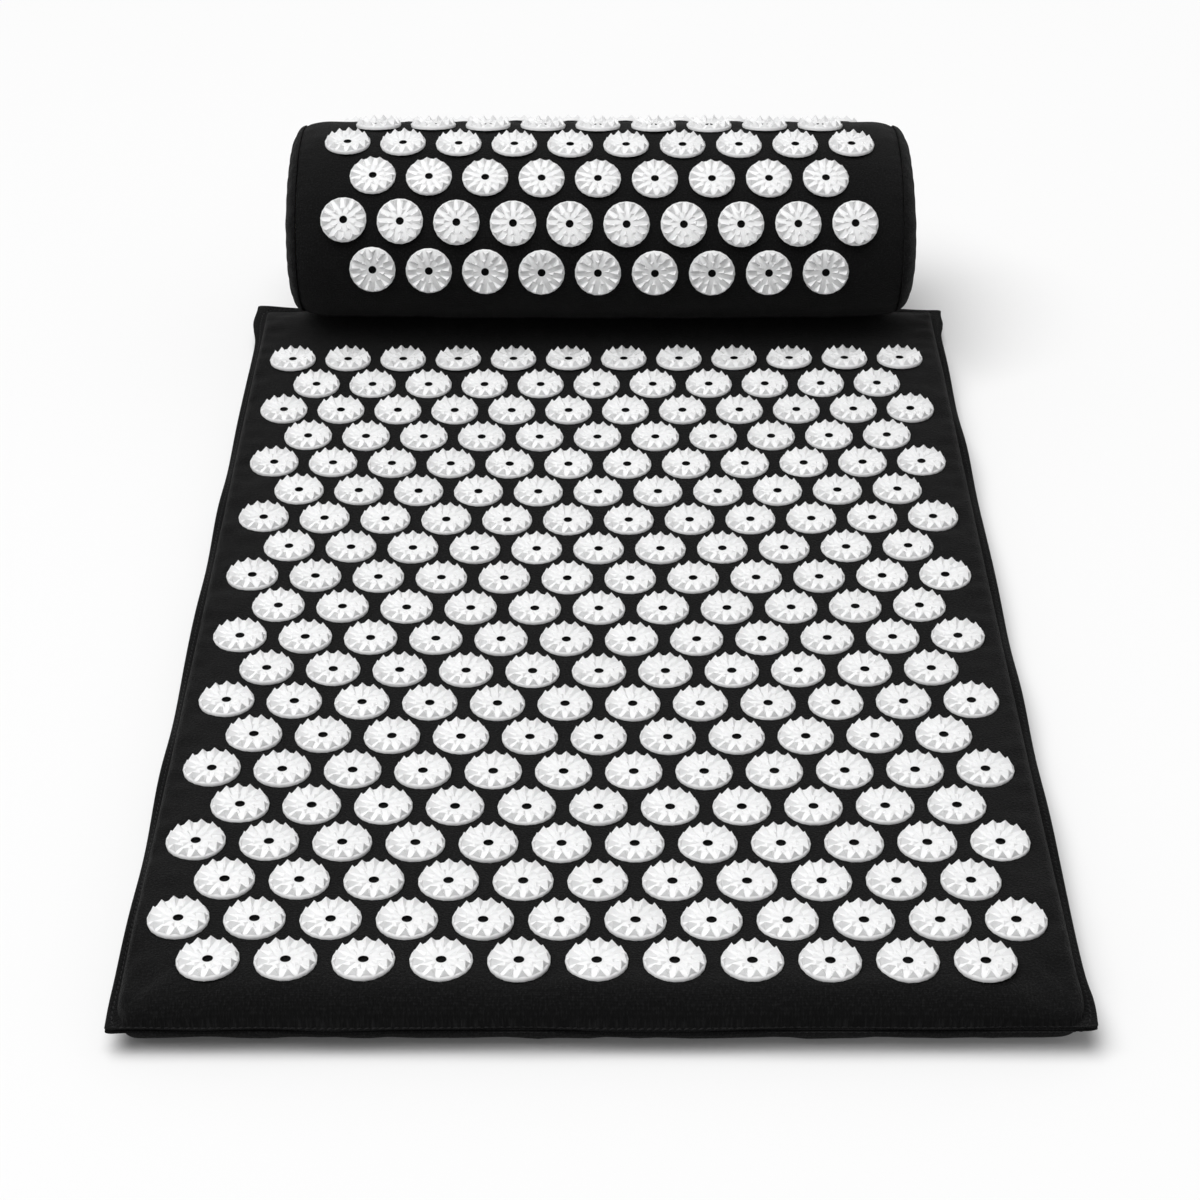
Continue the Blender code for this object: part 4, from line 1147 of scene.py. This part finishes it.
class MAT_OT_stitching(bpy.types.Operator):
    """Sew the mat's edge: one row of stitches seen on both faces, open at the zip"""
    bl_idname = "mat.stitching"
    bl_label = "Mat Stitching"

    def execute(self, context):
        look = context.scene.mat_cover_look
        start = MAT_CHAIN / 2 + TAPE_TAIL + 0.006
        corners = np.array([(start, PAD_FAR), (PAD_HALF_WIDTH, PAD_FAR), (PAD_HALF_WIDTH, PAD_NEAR),
                            (-PAD_HALF_WIDTH, PAD_NEAR), (-PAD_HALF_WIDTH, PAD_FAR), (-start, PAD_FAR)])
        marks = [np.linspace(0.0, 1.0, 240, endpoint=False)[:, None] * (b - a) + a
                 for a, b in zip(corners[:-1], corners[1:])]
        line = np.concatenate(marks + [corners[-1:]])
        row = stitch_row(line[:, 0], line[:, 1])
        on_side = np.abs(line[:, 0]) > PAD_HALF_WIDTH - TINY
        line[:, 1] += row * ((line[:, 1] > PAD_FAR - TINY) * 1.0 - (line[:, 1] < PAD_NEAR + TINY))
        line[:, 0] += row * np.sign(line[:, 0]) * on_side
        up = np.array([0.0, 0.0, 1.0])
        top = mat_top_point(line[:, 0], line[:, 1], look)
        sew("mat_edge_stitches_top", top, up, look, "mat")
        under = mat_bottom_point(line[:, 0], line[:, 1], look)
        sew("mat_edge_stitches_under", under, -up, look, "mat")
        return {"FINISHED"}


class MAT_OT_foam(bpy.types.Operator):
    """Build the mat's foam pad inside the cover"""
    bl_idname = "mat.foam"
    bl_label = "Mat Foam"

    def execute(self, context):
        look = context.scene.mat_cover_look
        cut_back = MAT_ZIP_DEPTH + ZIP_RELIEF + FOAM_CUT_BACK
        x, y = mat_grid(TOP_ROLL, FOAM_SPACING, flange=False, inset=LINING, cut_back=cut_back)
        bx, by, depth = round_the_corner(x, y, PAD_HALF_WIDTH - LINING, PAD_NEAR + LINING,
                                         PAD_FAR - cut_back, NEAR_CORNER, FAR_CORNER)
        seam = seam_height(by)
        full = mat_top_height(bx, by) - LINING - look.press - seam
        rolled = roll_share(np.maximum(depth, 0.0), TOP_ROLL)
        share = np.minimum(fill_share(bx, by, depth, TOP_ROLL), rolled)
        from_ear = np.hypot(PAD_HALF_WIDTH - np.abs(bx), PAD_FAR - by)
        above = seam + full * share * (1.0 - FOAM_EAR_SLACK * bell(from_ear, 0.0, FOAM_EAR_RUN))
        below = seam - (seam - mat_bottom_height(by) - LINING) * rolled
        sides = [np.stack([bx, by - MIDDLE_Y, z], -1).reshape(-1, 3) for z in (above, below)]
        faces = grid_faces(*x.shape)
        points, faces = welded(np.concatenate(sides), np.concatenate([faces, faces[:, ::-1] + x.size]))
        pad = make_piece("mat_foam_pad_soft", points, [faces], foam_finish(look), "mat")
        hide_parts("mat_foam_pad")
        return {"FINISHED"}


def welded(points, faces):
    """Joins points that lie in one place, so that two sheets that meet at their edge form a closed skin."""
    keys = np.round(points / 1e-5).astype(np.int64)
    _, first, back = np.unique(keys, axis=0, return_index=True, return_inverse=True)
    faces = back.reshape(-1)[faces]
    kept = (np.diff(np.sort(faces, 1), axis=1) > 0).all(1)
    return points[first], faces[kept]


class PILLOW_OT_cover(bpy.types.Operator):
    """Build the pillow's canvas cover: disc panel, base panel and two puffed ends"""
    bl_idname = "pillow.cover"
    bl_label = "Pillow Cover"

    def execute(self, context):
        look = context.scene.mat_cover_look
        canvas = canvas_finish(look)
        edge = np.array([0.0, 0.0004, 0.0009, 0.0015, 0.0023, 0.0034, 0.0048, 0.0066, 0.0088, 0.0114,
                         0.0144])
        middle = np.linspace(-HALF_LENGTH + END_BAND, HALF_LENGTH - END_BAND, WRAP_COLUMNS)
        lines = np.concatenate([-HALF_LENGTH + edge, middle, HALF_LENGTH - edge[::-1]])
        seam_turn = GAP / HALF_HEIGHT
        last = arc_of(BACK_TURN - seam_turn)
        arcs = np.concatenate([FIRST_ARC + np.array([0.0, 0.0005, 0.001, 0.0016, 0.0024]),
                               np.linspace(FIRST_ARC + 0.0036, last, WRAP_ROWS)])
        x, arc = np.meshgrid(lines, arcs)
        wrap = make_sheet("pillow_cover_wrap", pillow_wrap_point(x, turn_of(arc), look),
                          np.stack([x, arc], -1), canvas, "pillow")
        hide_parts("pillow_disc_panel")
        turns = np.linspace(BACK_TURN + seam_turn, math.tau - FRONT_SEAM_DROP - seam_turn, BASE_ROWS)
        x, turn = np.meshgrid(lines[::2], turns)
        base = make_sheet("pillow_cover_base", pillow_base_point(x, turn, look),
                          np.stack([x, turn * (HALF_DEPTH + HALF_HEIGHT) / 2], -1), canvas, "pillow")
        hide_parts("pillow_base_panel")
        shares = np.concatenate([np.linspace(0.04, 0.72, 9), np.linspace(0.76, 0.94, 10),
                                 [0.952, 0.963, 0.973, 0.981, 0.988, 0.994, 1.0]])
        for side, name, node in ((-1.0, "pillow_cover_left_end", "pillow_left_end"),
                                 (1.0, "pillow_cover_right_end", "pillow_right_end")):
            points, uv, faces = end_mesh(side, shares, look)
            piece = make_piece(name, points, faces, canvas, "pillow", uv)
            give_thickness(piece)
            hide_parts(node)
        return {"FINISHED"}


def end_mesh(side, shares, look):
    """A pillow end's rings and the one point that closes its middle."""
    turns = np.linspace(0.0, math.tau, END_SIDES, endpoint=False)
    turn, share = np.meshgrid(turns, shares)
    points = pillow_end_point(side, share, turn, look).reshape(-1, 3)
    middle = pillow_end_point(side, np.zeros(1), np.zeros(1), look)
    points = np.concatenate([points, middle])
    faces = grid_faces(len(shares), len(turns), closed=True, flip=side > 0)
    ring = np.arange(len(turns))
    fan = np.stack([np.full(len(turns), len(points) - 1), (ring + 1) % len(turns), ring], -1)
    fan = fan if side < 0 else fan[:, ::-1]
    return points, points[:, 1:] - PILLOW_MIDDLE[1:], [faces, fan]


class PILLOW_OT_discs(bpy.types.Operator):
    """Build the spiked discs of the pillow"""
    bl_idname = "pillow.discs"
    bl_label = "Pillow Discs"

    def execute(self, context):
        cover, look = context.scene.mat_cover_look, context.scene.mat_disc_look
        row, x = staggered(PILLOW_ROWS, PILLOW_LONG_ROW)
        arc = row * ROW_PITCH
        arc = arc + cover_slip(x, arc)

        def place(x, arc):
            turn = turn_of(arc)
            return PILLOW_MIDDLE + barrel(x, turn) - barrel_normal(turn) * cover.press

        origins, axes = surface_frames(place, x, arc, 0.012)
        make_discs("pillow_spiked_discs", origins, axes, look, "pillow", 61)
        return {"FINISHED"}


class PILLOW_OT_foam(bpy.types.Operator):
    """Build the pillow's foam core inside the cover"""
    bl_idname = "pillow.foam"
    bl_label = "Pillow Foam"

    def execute(self, context):
        look = context.scene.mat_cover_look
        turns = np.linspace(0.0, math.tau, CORE_SIDES, endpoint=False)
        dome = np.array([1.0, 0.985, 0.96, 0.92, 0.86, 0.76, 0.6, 0.4, 0.2, 0.05])
        along = np.linspace(-1.0, 1.0, CORE_RINGS)[1:-1] * (HALF_LENGTH - 2 * END_FOAM_GAP)
        inset = LINING + look.press
        rings = [foam_end_ring(-1.0, share, turns, inset) for share in dome[::-1]]
        rings += [barrel(np.full_like(turns, x), turns, inset) for x in along]
        rings += [foam_end_ring(1.0, share, turns, inset) for share in dome]
        rings = PILLOW_MIDDLE + np.stack(rings)
        count = len(turns)
        faces = grid_faces(len(rings), count, closed=True)
        first = np.arange(count)
        caps = np.array([first, first[::-1] + (len(rings) - 1) * count])
        core = make_piece("pillow_foam_core_soft", rings.reshape(-1, 3), [faces[:, ::-1], caps],
                          foam_finish(look), "pillow")
        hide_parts("pillow_foam_core")
        return {"FINISHED"}


def foam_end_ring(side, share, turns, inset):
    """A ring of the core's domed end: the barrel's end ring, carried out as it shrinks to a share."""
    ring = barrel(np.full_like(turns, HALF_LENGTH), turns, inset + END_FOAM_GAP)
    out = HALF_LENGTH - GAP - LINING / 2 + (END_PUFF - LINING) * (1.0 - share ** PUFF_POWER)
    return np.stack([np.full_like(turns, side * out), ring[:, 1] * share, ring[:, 2] * share], -1)


def zip_frames():
    """Each zip's origin on the tapes' face, its axes along, across and out of the cover, and its length."""
    mat = np.array([0.0, PAD_FAR - MAT_ZIP_DEPTH - MIDDLE_Y, seam_height(PAD_FAR)])
    along = np.array([-1.0, 0.0, 0.0])
    out = np.array([0.0, 1.0, 0.0])
    normal = barrel_normal(np.array(BACK_TURN))
    here = PILLOW_MIDDLE + barrel(0.0, BACK_TURN) - normal * PILLOW_ZIP_DEPTH
    return {"mat": (mat, np.stack([along, np.cross(out, along), out]), MAT_CHAIN),
            "pillow": (here, np.stack([along, np.cross(normal, along), normal]), PILLOW_CHAIN)}


def coil_mesh(origin, axes, chain, side, look):
    """A zip coil: round wire along a flattened helix, whose turns reach over the chain's middle."""
    turns = int(chain / look.coil_pitch)
    steps = turns * WIRE_STEPS
    angle = np.arange(steps + 1) * math.tau / WIRE_STEPS
    reach = CHAIN_SLIT / 2 + COIL_WIDTH + COIL_OVERLAP
    half_width = reach / 2 - look.wire_radius
    half_height = COIL_THICKNESS / 2 - look.wire_radius
    shift = 0.0 if side > 0 else look.coil_pitch / 2
    forward = np.arange(steps + 1) * look.coil_pitch / WIRE_STEPS
    path = np.stack([forward - turns * look.coil_pitch / 2 + shift,
                     side * (half_width + look.wire_radius - COIL_OVERLAP + half_width * np.cos(angle)),
                     GAP + COIL_THICKNESS / 2 + half_height * np.sin(angle)], -1)
    along = unit(np.gradient(path, axis=0))
    across = unit(np.cross(along, np.array([1.0, 0.0, 0.0])))
    third = np.cross(along, across)
    around = np.arange(WIRE_SIDES) * math.tau / WIRE_SIDES
    points = (path[:, None] + look.wire_radius * (across[:, None] * np.cos(around)[:, None]
                                                  + third[:, None] * np.sin(around)[:, None]))
    placed = origin + points.reshape(-1, 3) @ axes
    count = len(path)
    ring = np.arange(WIRE_SIDES)
    caps = np.array([ring[::-1], ring + (count - 1) * WIRE_SIDES])
    return placed, [grid_faces(count, WIRE_SIDES, closed=True), caps]


class MAT_OT_zips(bpy.types.Operator):
    """Build both zips' coils and give tapes, stops, sliders and pulls their finishes"""
    bl_idname = "mat.zips"
    bl_label = "Zips"

    def execute(self, context):
        look = context.scene.mat_zip_look
        tape = finish("black_zip_tape", woven_material, tuple(look.tape), pitch=0.0005,
                      vector_of=object_vector, depth=0.00015, sheen=0.08)
        nylon = finish("black_coil_nylon", nylon_material, tuple(look.nylon))
        metal = finish("black_lacquered_metal", metal_material, tuple(look.metal))
        for prefix, (origin, axes, chain) in zip_frames().items():
            for label, side in (("upper", 1.0), ("lower", -1.0)):
                points, faces = coil_mesh(origin, axes, chain, side, look)
                coil = make_piece(f"{prefix}_coil_{label}", points, faces, nylon, prefix)
                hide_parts(f"{prefix}_zip_coil_{label}")
                paint(f"{prefix}_zip_tape_{label}", tape)
                paint(f"{prefix}_zip_top_stop_{label}", metal)
            for label in ("bottom_stop", "slider", "pull"):
                paint(f"{prefix}_zip_{label}", metal)
        return {"FINISHED"}


def paint(node, material):
    """Gives a carried-over part a new finish."""
    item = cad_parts[node]
    item.data.materials.clear()
    item.data.materials.append(material)


class MAT_OT_stage(bpy.types.Operator):
    """Set the pale floor, the softbox, the room light and the camera"""
    bl_idname = "mat.stage"
    bl_label = "Stage"

    def execute(self, context):
        look = context.scene.mat_stage_look
        scene = context.scene
        scene.view_settings.view_transform = "Standard"
        mesh = bpy.data.meshes.new("floor")
        corners = [(x * FLOOR_REACH, y * FLOOR_REACH, 0.0) for x, y in ((-1, -1), (1, -1), (1, 1), (-1, 1))]
        mesh.from_pydata(corners, [], [(0, 1, 2, 3)])
        floor = bpy.data.objects.new("floor", mesh)
        scene.collection.objects.link(floor)
        mesh.materials.append(floor_material(tuple(look.floor)))
        room_light(scene, look.sky)
        add_lamp("overhead_softbox", SOFTBOX_PLACE, SOFTBOX_AIM, SOFTBOX_SIZE, look.key_power)
        camera = bpy.data.objects.new("photo_camera", bpy.data.cameras.new("photo_camera"))
        scene.collection.objects.link(camera)
        camera.location = CAMERA_PLACE
        camera.rotation_euler = (CAMERA_TILT, 0.0, 0.0)
        camera.data.lens = CAMERA_LENS
        camera.data.sensor_width = 36.0
        camera.data.clip_start = 0.05
        scene.camera = camera
        return {"FINISHED"}


def seen_directly(tree):
    """1 for rays that come straight from the camera or by a mirror or glass, else 0."""
    path = add_node(tree, "ShaderNodeLightPath")
    direct = math_node(tree, "MAXIMUM", path.outputs["Is Camera Ray"], path.outputs["Is Glossy Ray"])
    return math_node(tree, "MAXIMUM", direct, path.outputs["Is Transmission Ray"])


def floor_material(color):
    """A matt pale floor with a faint paper grain.

    The softbox's light falls off with the distance d from its foot, as 1 / (1 + FLOOR_FALL d^2)^2. To the
    camera the floor makes up for it, so that it stays white far out.
    """
    constants = {"Roughness": 1.0, "Specular IOR Level": 0.0, "Emission Color": (1.0, 1.0, 1.0, 1.0)}
    material, tree, shader = new_material("pale_floor", constants, color)
    grain = use_group(tree, grain_group(), object_vector(tree), {"Grain size": 0.02, "Patch size": 0.9})
    low, high, bounced = shades(color, 0.995, 1.0, 0.5)
    seen = seen_directly(tree)
    paper = blend_colors(tree, grain["Patch"], low, high)
    tree.links.new(blend_colors(tree, seen, bounced, paper), shader.inputs["Base Color"])
    away = add_node(tree, "ShaderNodeVectorMath", {"operation": "DISTANCE"})
    tree.links.new(object_vector(tree), away.inputs[0])
    away.inputs[1].default_value = (*SOFTBOX_PLACE[:2], 0.0)
    square = math_node(tree, "MULTIPLY", away.outputs["Value"], away.outputs["Value"])
    spread = math_node(tree, "POWER", math_node(tree, "MULTIPLY_ADD", square, FLOOR_FALL, 1.0), 2.0)
    lit = math_node(tree, "DIVIDE", FLOOR_LIT, spread)
    lift = math_node(tree, "MAXIMUM", math_node(tree, "SUBTRACT", FLOOR_WHITE, lit), 0.0)
    tree.links.new(math_node(tree, "MULTIPLY", seen, lift), shader.inputs["Emission Strength"])
    return material


def room_light(scene, strength):
    world = bpy.data.worlds.new("pale_room")
    scene.world = world
    world.use_nodes = True
    tree = world.node_tree
    sky = tree.nodes["Background"]
    sky.inputs["Color"].default_value = (1.0, 1.0, 1.0, 1.0)
    lift = math_node(tree, "MULTIPLY_ADD", seen_directly(tree), 1.0 - strength, strength)
    tree.links.new(lift, sky.inputs["Strength"])


def add_lamp(name, place, aim, size, power):
    """A rectangular softbox that faces a point."""
    lamp = bpy.data.lights.new(name, "AREA")
    lamp.shape = "RECTANGLE"
    lamp.size, lamp.size_y = size
    lamp.energy = power
    item = bpy.data.objects.new(name, lamp)
    bpy.context.scene.collection.objects.link(item)
    item.location = place
    away = Vector(place) - Vector(aim)
    item.rotation_euler = away.to_track_quat("Z", "Y").to_euler()


OPERATORS = (MAT_OT_stage, MAT_OT_cover, MAT_OT_discs, MAT_OT_stitching, MAT_OT_foam, PILLOW_OT_cover,
             PILLOW_OT_discs, PILLOW_OT_foam, MAT_OT_zips)
LOOKS = {"mat_cover_look": MatCoverLook, "mat_disc_look": MatDiscLook, "mat_zip_look": MatZipLook,
         "mat_stage_look": MatStageLook}


class VIEW3D_PT_mat(bpy.types.Panel):
    """Sizes, colours and builders of the acupressure mat"""
    bl_idname = "VIEW3D_PT_mat"
    bl_label = "Acupressure Mat"
    bl_space_type = "VIEW_3D"
    bl_region_type = "UI"
    bl_category = "Mat"

    def draw(self, context):
        for label, kind in LOOKS.items():
            box = self.layout.box()
            for key in kind.__annotations__:
                box.prop(getattr(context.scene, label), key)
        for operator in OPERATORS:
            self.layout.operator(operator.bl_idname)


def register():
    for kind in (*LOOKS.values(), *OPERATORS, VIEW3D_PT_mat):
        bpy.utils.register_class(kind)
    for label, kind in LOOKS.items():
        setattr(bpy.types.Scene, label, bpy.props.PointerProperty(type=kind))


def unregister():
    for label in LOOKS:
        delattr(bpy.types.Scene, label)
    for kind in (VIEW3D_PT_mat, *reversed(OPERATORS), *reversed(LOOKS.values())):
        bpy.utils.unregister_class(kind)


def main():
    """Builds every piece in order."""
    register()
    for operator in OPERATORS:
        group, name = operator.bl_idname.split(".")
        getattr(getattr(bpy.ops, group), name)()


if __name__ == "__main__":
    main()
